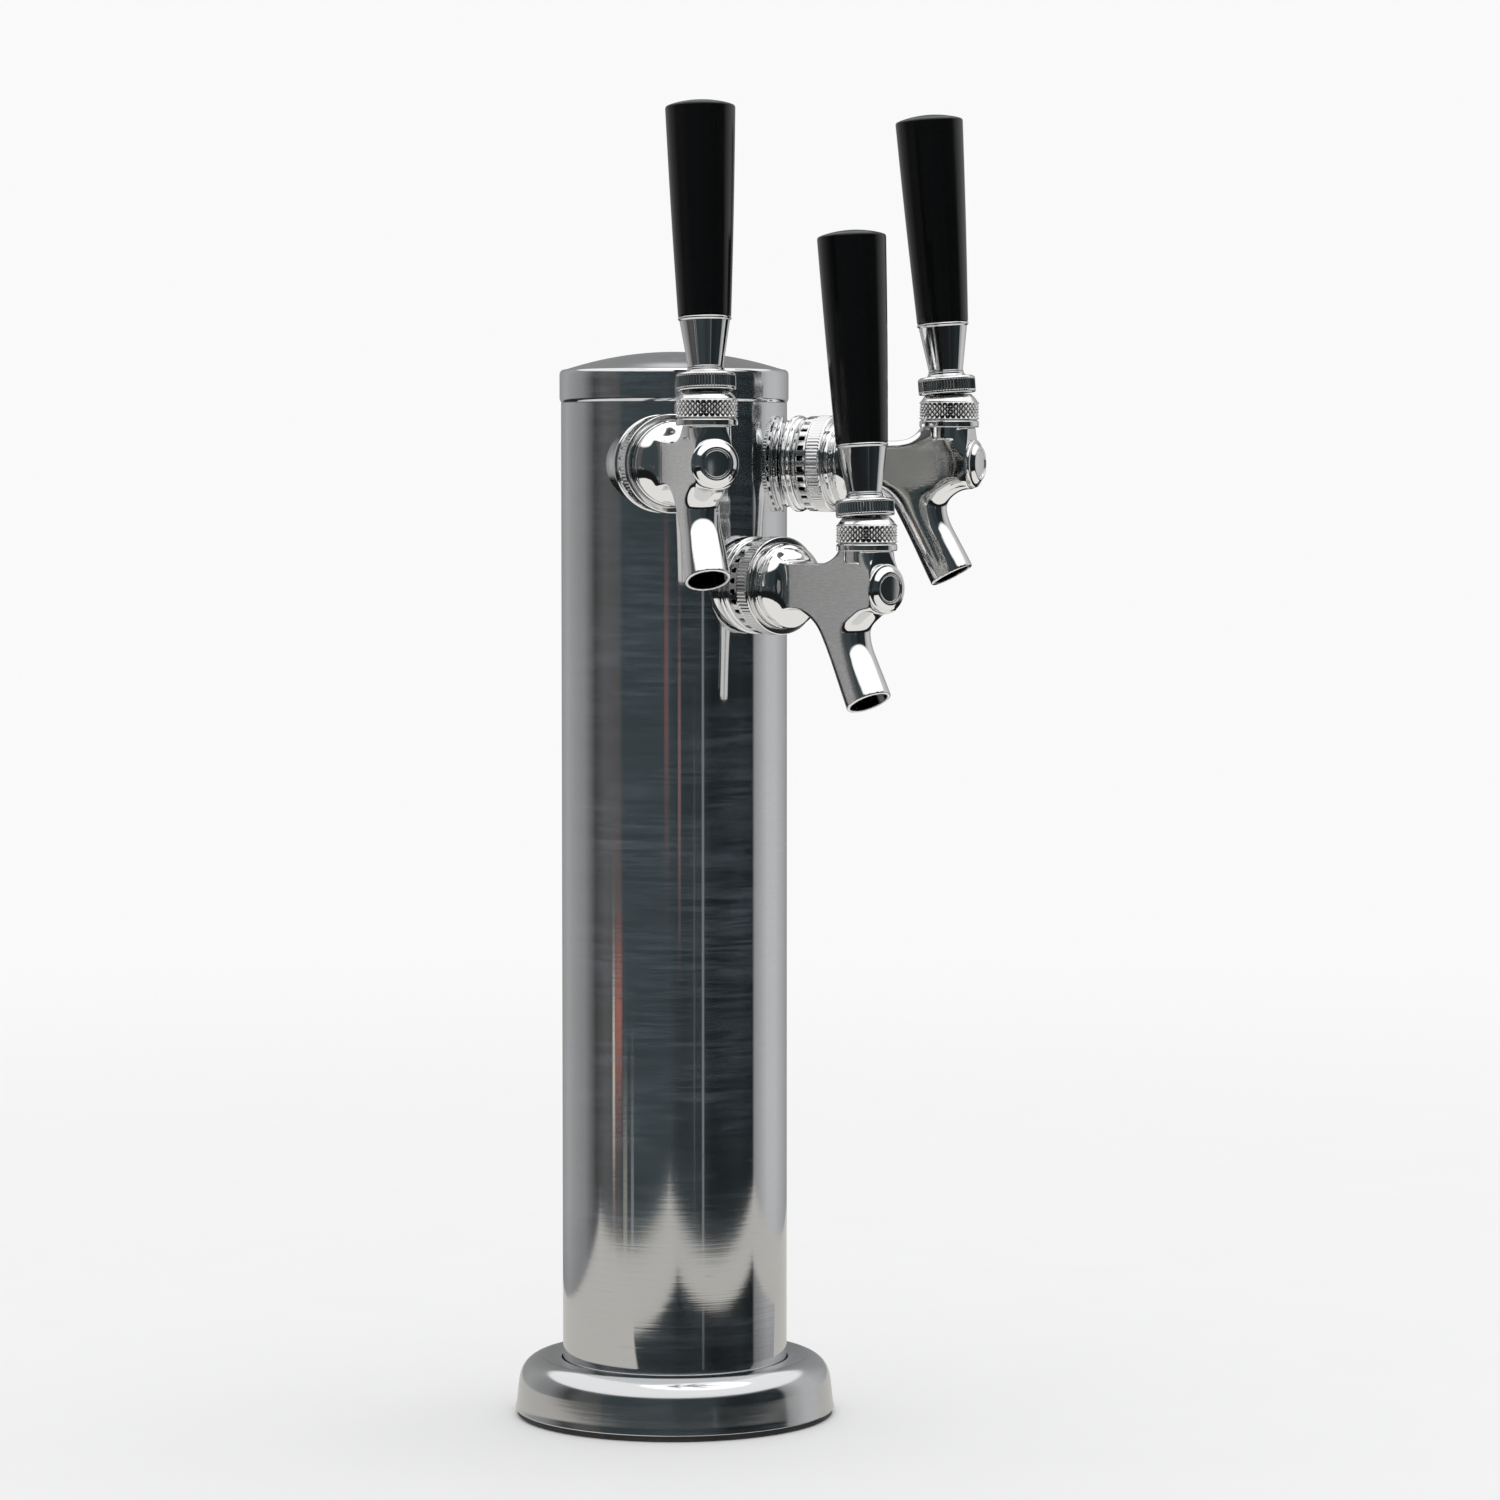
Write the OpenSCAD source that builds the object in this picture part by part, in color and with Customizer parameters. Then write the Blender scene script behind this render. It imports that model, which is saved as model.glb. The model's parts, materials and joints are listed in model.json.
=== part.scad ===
// Draft tower: a round steel column with three rear-closing beer faucets.
// Millimetres, +Z up, the taps face -Y. The origin is the centre of the base underside.

/* [Column] */
// Outside diameter of the column tube
column_d = 76.2; // [74:0.2:80]
// Wall thickness of the column tube
column_wall = 1.5; // [1.2:0.1:2.5]
// Height of the top edge of the column tube
column_top = 343; // [343:1:380]
// Height of the cap skirt that stands above the tube
cap_skirt_h = 11; // [9:0.5:16]
// Rise of the domed cap above its rim
cap_dome_h = 6; // [4:0.5:9]

/* [Base] */
// Outside diameter of the base ring where it meets the counter
base_d = 108.8; // [108:0.2:116]
// Height of the crown of the base ring
base_h = 19.5; // [18:0.5:24]
// Diameter of the circle of the four tapped holes
bolt_circle_d = 84; // [83:0.5:85]
// Diameter of each tapped hole before the thread is cut
tapped_hole_d = 5; // [4:0.1:5.5]
// Diameter of the opening for the beer lines
line_opening_d = 60; // [56:1:64]

/* [Tap layout] */
// Height of the two upper tap axes
upper_tap_z = 322.4; // [320:0.1:322.4]
// Height of the lower tap axis
lower_tap_z = 282.2; // [272:0.1:284]
// Angle by which each upper tap turns outwards
fan_angle = 25.5; // [22:0.5:27]
// Sideways distance from the column axis to an upper tap axis
upper_offset = 15.5; // [15:0.1:16]
// Distance out to the front face of an upper coupling nut
upper_nut_front = 53; // [53:0.1:58]
// Distance out to the front face of the lower coupling nut
lower_nut_front = 54.4; // [54:0.1:60]

/* [Faucet] */
// Distance from the nut face to the lever axis
lever_u = 40; // [39:0.1:41]
// Height of the lever ball above the tap axis
ball_h = 14.5; // [14.4:0.1:14.6]
// Angle by which a closed lever leans back
lever_lean = 4.25; // [3:0.25:5]
// Distance from the nut face to the front of the body boss
boss_front_u = 51.3; // [51:0.1:53]
// Forward angle of the spout from the vertical
spout_angle = 28; // [26:1:30]
// Distance of the spout outlet below the tap axis
outlet_drop = 37.2; // [35:0.2:42]
// Distance of the spout outlet in front of the nut face
outlet_u = 41.2; // [39:0.2:43]

/* [Handle] */
// Height of the handle foot above the lever ball
handle_foot = 32.3; // [32:0.1:34]
// Height of the handle top above the lever ball
handle_top = 101.4; // [90:0.5:120]
// Diameter of the handle foot
handle_foot_d = 17; // [16.4:0.1:18]
// Diameter of the widest part of the handle
handle_top_d = 22.4; // [19:0.1:25]

/* [Hidden] */
$fn = 64;

// Which tap: the left one has its outlet on the -X side.
LEFT = -1;
CENTER = 0;
RIGHT = 1;
SIDES = [LEFT, CENTER, RIGHT];

column_r = column_d / 2;
bore_r = column_r - column_wall;
gasket_t = 1.6;
plate_t = 6;
plate_top = gasket_t + plate_t;
plate_r = 47.5;
bolt_boss_r = 4.5;
fit = 0.05;

// Shank and tap sizes, radii unless the name says otherwise.
shank_r = 11.1;
shank_hole_r = shank_r + 0.2;
shank_bore_r = 3.2;
shank_head_r = 13.2;
thread_r = 14;
collar_r = 14.2;
flange_r = 16.2;
nut_r = 16.2;
nut_len = 10.8;
flange_t = 3.4;
flange_back = 14.4;
lock_nut_af = 27;
lock_nut_t = 8;
inner_saddle_r = 14;
tail_nut_t = 7.8;
line_r = 5.6;

// Faucet internals.
ball_r = 6;
socket_r = ball_r + 0.06;
neck_r = 7.7;
neck_top = 16.9;
seat_u = 6;
yoke_r = 4.2;
rod_r = 2.4;
plug_r = 5;
plug_flange_r = 8.2;
plug_flange_t = 3.1;
flat_half = 6.4;
bar_half_h = 7.6;
boss_r = 7.4;
stem_r = 8.8;
stem_half = 6.9;
stem_thread_r = 4.7;
nut_low = 8.7;
nut_recess = 2.2;
outlet_bore_r = 6.1;
spout_r = 7.2;

function is_upper(side) = side != CENTER;
function tap_z(side) = is_upper(side) ? upper_tap_z : lower_tap_z;
function nut_front(side) = is_upper(side) ? upper_nut_front : lower_nut_front;
// Distance out to the back face of the lock nut inside the column.
function lock_nut_out(side) = is_upper(side) ? 9 : 22;
function shank_end(side) = lock_nut_out(side) - 5;
// The closed lever leans back, so its lower tip stands a little in front of the ball.
tip_u = lever_u + ball_h * sin(lever_lean);
boss_u = boss_front_u - plug_flange_t;

// Points of an arc in a plane, angles in degrees.
function arc(cx, cy, r, from, to, steps) =
    [for (i = [0:steps]) let (a = from + (to - from) * i / steps) [cx + r * cos(a), cy + r * sin(a)]];

// ---- placing helpers ----

// Tap frame: origin on the tap axis beside the column axis, -Y runs out along the tap.
module at_tap(side) {
    translate([0, 0, tap_z(side)])
        rotate([0, 0, side * fan_angle])
            translate([side * upper_offset, 0, 0])
                children();
}

// Faucet frame: the tap frame moved out to the front face of the coupling nut.
module at_faucet(side) {
    at_tap(side)
        translate([0, -nut_front(side), 0])
            children();
}

// Lever frame: origin in the ball, +Z along the closed lever.
module at_lever(side) {
    at_faucet(side)
        translate([0, -lever_u, ball_h])
            rotate([-lever_lean, 0, 0])
                children();
}

// A rod along the tap from distance a to distance b.
module rod(a, b, r) {
    translate([0, -a, 0])
        rotate([90, 0, 0])
            cylinder(h = b - a, r = r);
}

// A hexagonal rod along the tap, with flats facing sideways.
module hex_rod(a, b, across_flats) {
    translate([0, -a, 0])
        rotate([90, 0, 0])
            rotate([0, 0, 30])
                cylinder(h = b - a, r = across_flats / 2 / cos(30), $fn = 6);
}

// The column as a solid of radius r, seen from the tap frame.
module column_core(side, r) {
    translate([-side * upper_offset, 0, -60])
        cylinder(h = 120, r = r, $fn = 128);
}

// ---- column and base ----

module column_tube() {
    color("silver")
    difference() {
        translate([0, 0, plate_top])
            cylinder(h = column_top - plate_top, r = column_r, $fn = 128);
        translate([0, 0, plate_top - 1])
            cylinder(h = column_top - plate_top + 2, r = bore_r, $fn = 128);
        for (side = SIDES)
            at_tap(side) rod(0, 60, shank_hole_r);
    }
}

// The cap sits on the tube edge and a short plug skirt centres it in the tube.
module top_cap() {
    cap_r = column_r + 0.5;
    corner = 2;
    shell = 1.4;
    plug = bore_r - 0.1;
    rim = column_top + cap_skirt_h;
    apex = rim + cap_dome_h;
    dome_r = cap_r - corner;
    sphere_r = (dome_r * dome_r + cap_dome_h * cap_dome_h) / (2 * cap_dome_h);
    span = asin(dome_r / sphere_r);
    outer = concat(
        [[cap_r - 0.4, column_top + fit]],
        [[cap_r, column_top + 0.6]],
        arc(cap_r - corner, rim - corner, corner, 0, 90 - span, 5),
        arc(0, apex - sphere_r, sphere_r, 90 - span, 90, 12)
    );
    inner = [
        [0, apex - shell],
        [dome_r * 0.55, apex - shell - cap_dome_h * 0.32],
        [plug - shell, rim - corner],
        [plug - shell, column_top - 4],
        [plug, column_top - 4],
        [plug, column_top + fit]
    ];
    color("silver")
    rotate_extrude($fn = 128)
        polygon(concat(outer, inner));
}

// Cover ring with a flared wall, a rounded shoulder and a narrow groove at the column.
module base_ring() {
    foot_r = base_d / 2;
    shoulder = 8;
    shoulder_r = foot_r - 2 - shoulder;
    inside_r = column_r + 0.4;
    color("silver")
    rotate_extrude($fn = 128)
        polygon(concat(
            [[plate_r + 0.2, gasket_t]],
            [[foot_r, gasket_t]],
            [[foot_r - 0.6, 4]],
            arc(shoulder_r, base_h - shoulder - 0.6, shoulder, 0, 78, 8),
            [[column_r + 4.4, base_h]],
            [[column_r + 2.6, base_h - 0.7]],
            [[inside_r, base_h - 3.6]],
            [[inside_r, plate_top + 0.2]],
            [[plate_r + 0.2, plate_top + 0.2]]
        ));
}

module at_bolts() {
    for (i = [0:3])
        rotate([0, 0, 45 + 90 * i])
            translate([bolt_circle_d / 2, 0, 0])
                children();
}

// Plate welded under the tube; screws come up into its four tapped bosses.
module base_plate() {
    color("gray")
    difference() {
        union() {
            translate([0, 0, gasket_t])
                cylinder(h = plate_t, r = plate_r, $fn = 96);
            at_bolts()
                cylinder(h = gasket_t + 1, r = bolt_boss_r);
        }
        translate([0, 0, -1])
            cylinder(h = plate_top + 2, r = line_opening_d / 2, $fn = 96);
        at_bolts()
            translate([0, 0, -1])
                cylinder(h = plate_top + 2, r = tapped_hole_d / 2);
    }
}

module base_gasket() {
    color("black")
    difference() {
        cylinder(h = gasket_t, r = base_d / 2 - 0.8, $fn = 96);
        translate([0, 0, -1])
            cylinder(h = gasket_t + 2, r = line_opening_d / 2, $fn = 96);
        at_bolts()
            translate([0, 0, -1])
                cylinder(h = gasket_t + 2, r = bolt_boss_r + 0.2);
    }
}

// Split foam tube that keeps the beer lines cold.
module foam_sleeve() {
    sleeve_top = lower_tap_z - 20;
    color("dimgray")
    translate([0, 0, plate_top + 2])
    difference() {
        cylinder(h = sleeve_top - plate_top - 2, r = bore_r - 0.2, $fn = 96);
        translate([0, 0, -1])
            cylinder(h = sleeve_top, r = 24);
    }
}

// ---- pieces on each shank ----

// Saddle between the round column and the flat wall flange.
module collar(side) {
    color("gainsboro")
    at_tap(side)
    difference() {
        rod(20, nut_front(side) - flange_back, collar_r);
        rod(10, 60, shank_hole_r);
        column_core(side, column_r + 0.03);
    }
}

module wall_flange(side) {
    back = nut_front(side) - flange_back;
    color("gainsboro")
    at_tap(side)
    difference() {
        union() {
            rod(back, back + 1.6, flange_r);
            rod(back + 1.6, back + flange_t, flange_r - 0.8);
        }
        rod(back - 1, back + flange_t + 1, shank_r + fit);
    }
}

// Threaded tube with a head that the coupling nut pulls against.
module shank(side) {
    front = nut_front(side) - 5.2;
    color("gainsboro")
    at_tap(side)
    difference() {
        union() {
            rod(shank_end(side), front, shank_r);
            rod(front - 2.6, front, shank_head_r);
        }
        rod(shank_end(side) - 1, front + 1, shank_bore_r);
    }
}

// Captive nut: spanner slots at the back, a band of broad ribs at the front.
module coupling_nut(side) {
    slots = 28;
    ribs = 28;
    band = 5.4;
    color("gainsboro")
    at_faucet(side)
    difference() {
        union() {
            rod(-nut_len, -nut_len + 2, nut_r - 0.7);
            rod(-nut_len + 2, 0, nut_r);
        }
        rod(-8, 1, thread_r + fit);
        rod(-nut_len - 1, -7, shank_r + fit);
        for (i = [0:slots - 1])
            rotate([0, i * 360 / slots, 0])
                translate([nut_r - 1.1, nut_len - 4.6, -0.8])
                    cube([3, 2.4, 1.6]);
        for (i = [0:ribs - 1])
            rotate([0, (i + 0.5) * 360 / ribs, 0])
                translate([nut_r - 0.35, 0.9, -0.5])
                    cube([2, band - 0.9, 1]);
    }
}

// ---- faucet ----

// Profile of the spout web in the vertical plane, as [distance out, height].
function web_points() = concat(
    [[9, 3], [9, -7]],
    arc(12.2, -23.5, 16.6, 78, 15, 6),
    [[outlet_u - 8.4, outlet_drop * -0.80]],
    [[outlet_u - 1.5, outlet_drop * -0.80]],
    [[outlet_u - 0.6, -21]],
    arc(55, -22.5, 14.8, 176, 128, 4),
    [[46, -4], [46, 3]]
);

module spout(length, r) {
    translate([0, -outlet_u, -outlet_drop])
        rotate([-spout_angle, 0, 0])
            cylinder(h = length, r = r);
}

module faucet_body(side) {
    color("gainsboro")
    at_faucet(side)
    difference() {
        union() {
            // tail thread and rounded shoulder
            rod(-4, 0.1, thread_r);
            rotate([90, 0, 0])
                rotate_extrude($fn = 96)
                    polygon(concat(
                        [[0, 0.1], [14.6, 0.1]],
                        arc(7.2, 0.6, 7.4, 0, 90, 10),
                        [[0, 8]]
                    ));
            // flat-sided bar, socket column and boss
            translate([-flat_half, -lever_u, -bar_half_h])
                cube([2 * flat_half, lever_u - 3, 2 * bar_half_h]);
            intersection() {
                translate([0, -lever_u, -6])
                    cylinder(h = 18, r = stem_r);
                translate([-stem_half, -boss_u, -10])
                    cube([2 * stem_half, 30, 30]);
            }
            translate([0, -lever_u, 0])
                cylinder(h = neck_top, r = neck_r);
            rod(lever_u, boss_u, boss_r);
            // web and spout
            rotate([90, 0, -90])
                translate([0, 0, -flat_half])
                    linear_extrude(2 * flat_half)
                        polygon(web_points());
            spout(30, spout_r);
        }
        // valve chamber, seat, shaft bore and plug thread
        rod(-5, seat_u, 6.3);
        rod(seat_u - 1, seat_u + 5, 3.6);
        rod(seat_u + 4, 46, yoke_r + fit);
        rod(45.9, boss_front_u, plug_r + fit);
        // lever socket, with a ledge for the lower ball seat
        translate([0, -lever_u, 9.8])
            cylinder(h = 10, r = socket_r);
        translate([0, -lever_u, 0])
            cylinder(h = 12, r = 5.5);
        // beer way
        spout(34, 4.2);
        spout(14, outlet_bore_r);
        translate([0, -outlet_u, -outlet_drop])
            rotate([-spout_angle, 0, 0])
                translate([0, 0, -10])
                    cylinder(h = 10, r = 20);
    }
}

// Knurled ring nut that closes the ball socket.
module bonnet(side) {
    ring_r = 9.9;
    color("gainsboro")
    at_faucet(side)
    translate([0, -lever_u, 0])
    rotate_extrude()
        polygon([
            [neck_r + fit, 12.05], [ring_r, 12.05], [ring_r, 14.2], [9.4, 14.5],
            [9.8, 14.8], [9.8, 20.2], [9.35, 20.7], [9.2, 21.05], [8.4, 22.05],
            [7.7, 22.75], [7.2, 23.2], [6.9, 23.2], [6.9, 18.5], [neck_r + fit, 18.5]
        ]);
}

module front_plug(side) {
    color("silver")
    at_faucet(side)
    difference() {
        union() {
            rod(46.2, boss_u + 1, plug_r);
            rod(boss_u + fit, boss_front_u - 0.8, plug_flange_r);
            rod(boss_front_u - 1, boss_front_u, 6.6);
        }
        difference() {
            rod(boss_front_u - 0.7, boss_front_u + 1, 5.8);
            rod(boss_front_u - 2, boss_front_u + 2, 5);
        }
    }
}

// Plunger rod; the lever tip works in its slotted yoke.
module shaft(side) {
    color("silver")
    at_faucet(side)
    difference() {
        union() {
            rod(1.2, 34, rod_r);
            rod(1.2, 2.5, 3.4);
            rod(33, 45.7, yoke_r);
        }
        translate([-2.2, -tip_u - 3.2, -6])
            cube([4.4, 6.4, 12]);
    }
}

module seat_washer(side) {
    color("black")
    at_faucet(side)
    difference() {
        rod(2.6, seat_u - fit, 5.6);
        rod(1, seat_u + 1, rod_r + 0.02);
    }
}

module lever(side) {
    color("silver")
    at_lever(side) {
        sphere(r = ball_r);
        translate([0, 0, -ball_h])
            cylinder(h = ball_h, r = 1.5);
        translate([0, 0, -ball_h])
            sphere(r = 2.1, $fn = 32);
        cylinder(h = nut_low + nut_recess, r = 3.4);
        translate([0, 0, nut_low + nut_recess])
            cylinder(h = 37.3, r = stem_thread_r);
    }
}

// Round jam nut that locks the lever thread; its hollow underside clears the bonnet dome.
module lever_nut(side) {
    color("gainsboro")
    at_lever(side)
    difference() {
        union() {
            translate([0, 0, nut_low])
                cylinder(h = 5.7, r = 9.5);
            translate([0, 0, nut_low])
                cylinder(h = 7.15, r = 6.4);
        }
        translate([0, 0, nut_low - 1])
            cylinder(h = nut_recess + 1, r = 8.1);
        translate([0, 0, nut_low - 1])
            cylinder(h = 9, r = stem_thread_r + fit);
    }
}

module ferrule(side) {
    low = 15.9;
    color("gainsboro")
    at_lever(side)
    rotate_extrude()
        polygon([
            [stem_thread_r + fit, low], [6, low], [6.3, low + 0.6],
            [handle_foot_d / 2 - 0.3, handle_foot - 0.9],
            [handle_foot_d / 2 - 0.7, handle_foot - 0.05],
            [stem_thread_r + fit, handle_foot - 0.05]
        ]);
}

module handle(side) {
    foot_r = handle_foot_d / 2;
    top_r = handle_top_d / 2;
    corner = 1;
    crown = 1.9;
    rim_r = top_r - corner / 2;
    crown_r = (rim_r * rim_r + crown * crown) / (2 * crown);
    rim_angle = acos(rim_r / crown_r);
    color("black")
    at_lever(side)
    difference() {
        rotate_extrude()
            polygon(concat(
                [[0, handle_foot]],
                [[foot_r - 0.3, handle_foot]],
                [[foot_r, handle_foot + 0.4]],
                arc(top_r - corner, handle_top - crown - corner, corner, 0, 60, 4),
                arc(0, handle_top - crown_r, crown_r, rim_angle, 90, 6)
            ));
        translate([0, 0, handle_foot - 1])
            cylinder(h = 18, r = stem_thread_r + fit);
    }
}

// ---- pieces that repeat inside the column and the faucets ----

module inner_saddles() {
    color("silver")
    for (side = SIDES)
        at_tap(side)
        intersection() {
            column_core(side, bore_r - 0.03);
            difference() {
                rod(lock_nut_out(side) + lock_nut_t, 40, inner_saddle_r);
                rod(0, 60, shank_hole_r);
            }
        }
}

module shank_nuts() {
    color("goldenrod")
    for (side = SIDES)
        at_tap(side)
        difference() {
            hex_rod(lock_nut_out(side), lock_nut_out(side) + lock_nut_t, lock_nut_af);
            rod(0, 60, shank_r + fit);
        }
}

module shank_gaskets() {
    color("black")
    for (side = SIDES)
        at_faucet(side)
        difference() {
            rod(-5.2, -4, 12.6);
            rod(-6, -3, 4);
        }
}

module elbow_tailpieces() {
    color("goldenrod")
    for (side = SIDES)
        at_tap(side)
        translate([0, -shank_end(side), 0])
        difference() {
            union() {
                rod(-2, 0, 10.4);
                rod(-11, 0, 6.2);
                translate([0, 11, 0])
                    sphere(r = 6.2);
                translate([0, 11, -12])
                    cylinder(h = 12, r = 4.6);
                translate([0, 11, -30])
                    cylinder(h = 20, r = shank_bore_r);
            }
            rod(-11, 1, 2.4);
            translate([0, 11, -31])
                cylinder(h = 31, r = 2.2);
        }
}

module tail_nuts() {
    color("goldenrod")
    for (side = SIDES)
        at_tap(side)
        translate([0, -shank_end(side), 0])
        difference() {
            hex_rod(-tail_nut_t + 4.6, 4.6, lock_nut_af);
            rod(-2.02, 5, shank_r + fit);
            rod(-5, 0, 6.2 + fit);
        }
}

module at_line(side) {
    at_tap(side)
        translate([0, 11 - shank_end(side), 0])
            children();
}

module beer_lines() {
    line_end = 3;
    color("lightcyan")
    for (side = SIDES)
        at_line(side)
        translate([0, 0, line_end - tap_z(side)])
        difference() {
            cylinder(h = tap_z(side) - line_end - 13, r = line_r);
            translate([0, 0, -1])
                cylinder(h = tap_z(side), r = shank_bore_r + fit);
        }
}

module hose_clamps() {
    color("silver")
    for (side = SIDES)
        at_line(side)
        translate([0, 0, -22]) {
            difference() {
                cylinder(h = 5, r = line_r + 0.9);
                translate([0, 0, -1])
                    cylinder(h = 7, r = line_r + fit);
                translate([-1, 0, -1])
                    cube([2, 10, 7]);
            }
        }
}

module ball_seats() {
    color("white")
    for (side = SIDES)
        at_faucet(side)
        translate([0, -lever_u, 9.85])
        difference() {
            cylinder(h = 1.1, r = socket_r - 0.02);
            translate([0, 0, -1])
                cylinder(h = 4, r = 5);
        }
}

module ball_washers() {
    color("white")
    for (side = SIDES)
        at_faucet(side)
        translate([0, -lever_u, neck_top + 0.1])
        difference() {
            cylinder(h = 1.45, r = neck_r);
            translate([0, 0, -1])
                cylinder(h = 4, r = 5.6);
        }
}

column_tube();
top_cap();
base_ring();
base_plate();
base_gasket();
foam_sleeve();
inner_saddles();
shank_nuts();
shank_gaskets();
elbow_tailpieces();
tail_nuts();
beer_lines();
hose_clamps();
ball_seats();
ball_washers();
collar(LEFT);  // left_collar
wall_flange(LEFT);  // left_wall_flange
shank(LEFT);  // left_shank
coupling_nut(LEFT);  // left_coupling_nut
faucet_body(LEFT);  // left_body
bonnet(LEFT);  // left_bonnet
front_plug(LEFT);  // left_front_plug
shaft(LEFT);  // left_shaft
seat_washer(LEFT);  // left_seat_washer
lever(LEFT);  // left_lever
lever_nut(LEFT);  // left_lever_nut
ferrule(LEFT);  // left_ferrule
handle(LEFT);  // left_handle
collar(CENTER);  // center_collar
wall_flange(CENTER);  // center_wall_flange
shank(CENTER);  // center_shank
coupling_nut(CENTER);  // center_coupling_nut
faucet_body(CENTER);  // center_body
bonnet(CENTER);  // center_bonnet
front_plug(CENTER);  // center_front_plug
shaft(CENTER);  // center_shaft
seat_washer(CENTER);  // center_seat_washer
lever(CENTER);  // center_lever
lever_nut(CENTER);  // center_lever_nut
ferrule(CENTER);  // center_ferrule
handle(CENTER);  // center_handle
collar(RIGHT);  // right_collar
wall_flange(RIGHT);  // right_wall_flange
shank(RIGHT);  // right_shank
coupling_nut(RIGHT);  // right_coupling_nut
faucet_body(RIGHT);  // right_body
bonnet(RIGHT);  // right_bonnet
front_plug(RIGHT);  // right_front_plug
shaft(RIGHT);  // right_shaft
seat_washer(RIGHT);  // right_seat_washer
lever(RIGHT);  // right_lever
lever_nut(RIGHT);  // right_lever_nut
ferrule(RIGHT);  // right_ferrule
handle(RIGHT);  // right_handle
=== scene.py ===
"""Looks for the beer tap tower: polished steel column, chrome faucets, black handles.

Lathe profiles and the faucet casting are written in millimetres in each piece's own frame and
are turned into metres when their mesh is made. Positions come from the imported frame.
"""
import json
import math

import bmesh
import bpy
import numpy as np
from mathutils import Matrix, Vector


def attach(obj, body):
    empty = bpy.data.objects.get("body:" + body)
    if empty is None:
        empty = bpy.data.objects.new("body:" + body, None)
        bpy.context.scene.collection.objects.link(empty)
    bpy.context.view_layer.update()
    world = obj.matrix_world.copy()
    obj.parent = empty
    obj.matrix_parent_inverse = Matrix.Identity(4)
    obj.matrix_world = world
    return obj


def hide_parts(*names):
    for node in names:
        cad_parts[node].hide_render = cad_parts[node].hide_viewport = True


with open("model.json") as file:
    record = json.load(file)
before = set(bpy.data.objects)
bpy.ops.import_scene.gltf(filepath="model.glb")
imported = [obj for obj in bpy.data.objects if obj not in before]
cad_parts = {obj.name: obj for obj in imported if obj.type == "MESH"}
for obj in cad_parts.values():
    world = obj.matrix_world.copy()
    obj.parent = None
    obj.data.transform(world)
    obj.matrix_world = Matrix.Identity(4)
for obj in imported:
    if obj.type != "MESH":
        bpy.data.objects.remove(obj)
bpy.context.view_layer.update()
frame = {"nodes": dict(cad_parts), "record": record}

MM = 0.001
SIDES = ("left", "center", "right")
JOINTS = {j["name"]: j for j in frame["record"]["behaviour"]["joints"]}

# ---- driving sizes, in millimetres ----

COLUMN_R = 38.1
COLUMN_WALL = 1.5
COLUMN_FOOT = 7.6
COLUMN_TOP = 343.0
CAP_R = COLUMN_R + 0.5
CAP_RIM = 354.0
CAP_APEX = 360.0
BASE_FOOT_R = 54.4
BASE_CROWN = 19.5
GASKET_T = 1.6
PLATE_R = 47.5
SHANK_R = 11.1
SHANK_HOLE_R = 11.3

# faucet: distances from the nut face outwards and heights above the tap axis
LEVER_U = 40.0
BALL_H = 14.5
BOSS_U = 48.2
FRONT_U = 51.3
FLANGE_BACK = 14.4
NUT_LENGTH = 10.8
COLLAR_R = 14.2
OUTLET_U = 41.2
OUTLET_H = -37.2
SPOUT_ANGLE = math.radians(28)
LEVER_LEAN = math.radians(4.25)
HANDLE_FOOT = 32.3
HANDLE_TOP = 101.4
NUT_LOW = 8.7

# ---- where each tap is, from the lever joints of the frame ----


def basis(x_axis, y_axis, z_axis, origin):
    """Matrix whose columns are the three axes, at the given origin."""
    m = Matrix.Identity(4)
    for i, axis in enumerate((x_axis, y_axis, z_axis)):
        m[0][i], m[1][i], m[2][i] = axis
    m.translation = origin
    return m


def lever_joint(side):
    return JOINTS[side + "_lever_hinge"]


def faucet_matrix(side):
    """Faucet frame: origin on the tap axis at the nut face, -Y outwards, +X sideways."""
    joint = lever_joint(side)
    across = Vector(joint["axis"]).normalized()
    up = Vector((0, 0, 1))
    inward = up.cross(across)
    pivot = Vector(joint["pos_m"])
    origin = pivot + inward * LEVER_U * MM - up * BALL_H * MM
    return basis(across, inward, up, origin)


def outward_matrix(side):
    """The faucet frame turned so that its +Z runs outwards along the tap."""
    return faucet_matrix(side) @ Matrix.Rotation(math.pi / 2, 4, "X")


def lever_matrix(side):
    """Lever frame: origin in the ball, +Z along the closed lever."""
    m = faucet_matrix(side)
    m.translation = Vector(lever_joint(side)["pos_m"])
    return m @ Matrix.Rotation(-LEVER_LEAN, 4, "X")


# ---- mesh helpers ----


def rounded(corners, closed=True, steps=5):
    """Profile with each corner cut back by its third value and rounded off."""
    points = []
    count = len(corners)
    for i, (r, z, cut) in enumerate(corners):
        here = np.array((r, z), float)
        at_end = not closed and i in (0, count - 1)
        if cut <= 0 or at_end:
            points.append(tuple(here))
            continue
        before = np.array(corners[i - 1][:2], float)
        after = np.array(corners[(i + 1) % count][:2], float)
        start = here + (before - here) / np.linalg.norm(before - here) * cut
        end = here + (after - here) / np.linalg.norm(after - here) * cut
        for k in range(steps + 1):
            t = k / steps
            point = (1 - t) ** 2 * start + 2 * t * (1 - t) * here + t ** 2 * end
            points.append(tuple(point))
    return points


def spaced(profile, low, high, step):
    """The profile with extra points on the stretch of it that lies between two heights."""
    out = []
    for i, (r, z) in enumerate(profile):
        out.append((r, z))
        r2, z2 = profile[(i + 1) % len(profile)]
        inside = min(z, z2) >= low - 1e-6 and max(z, z2) <= high + 1e-6
        parts = int(abs(z2 - z) / step) if inside else 0
        for k in range(1, parts):
            t = k / parts
            out.append((r + (r2 - r) * t, z + (z2 - z) * t))
    return out


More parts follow.
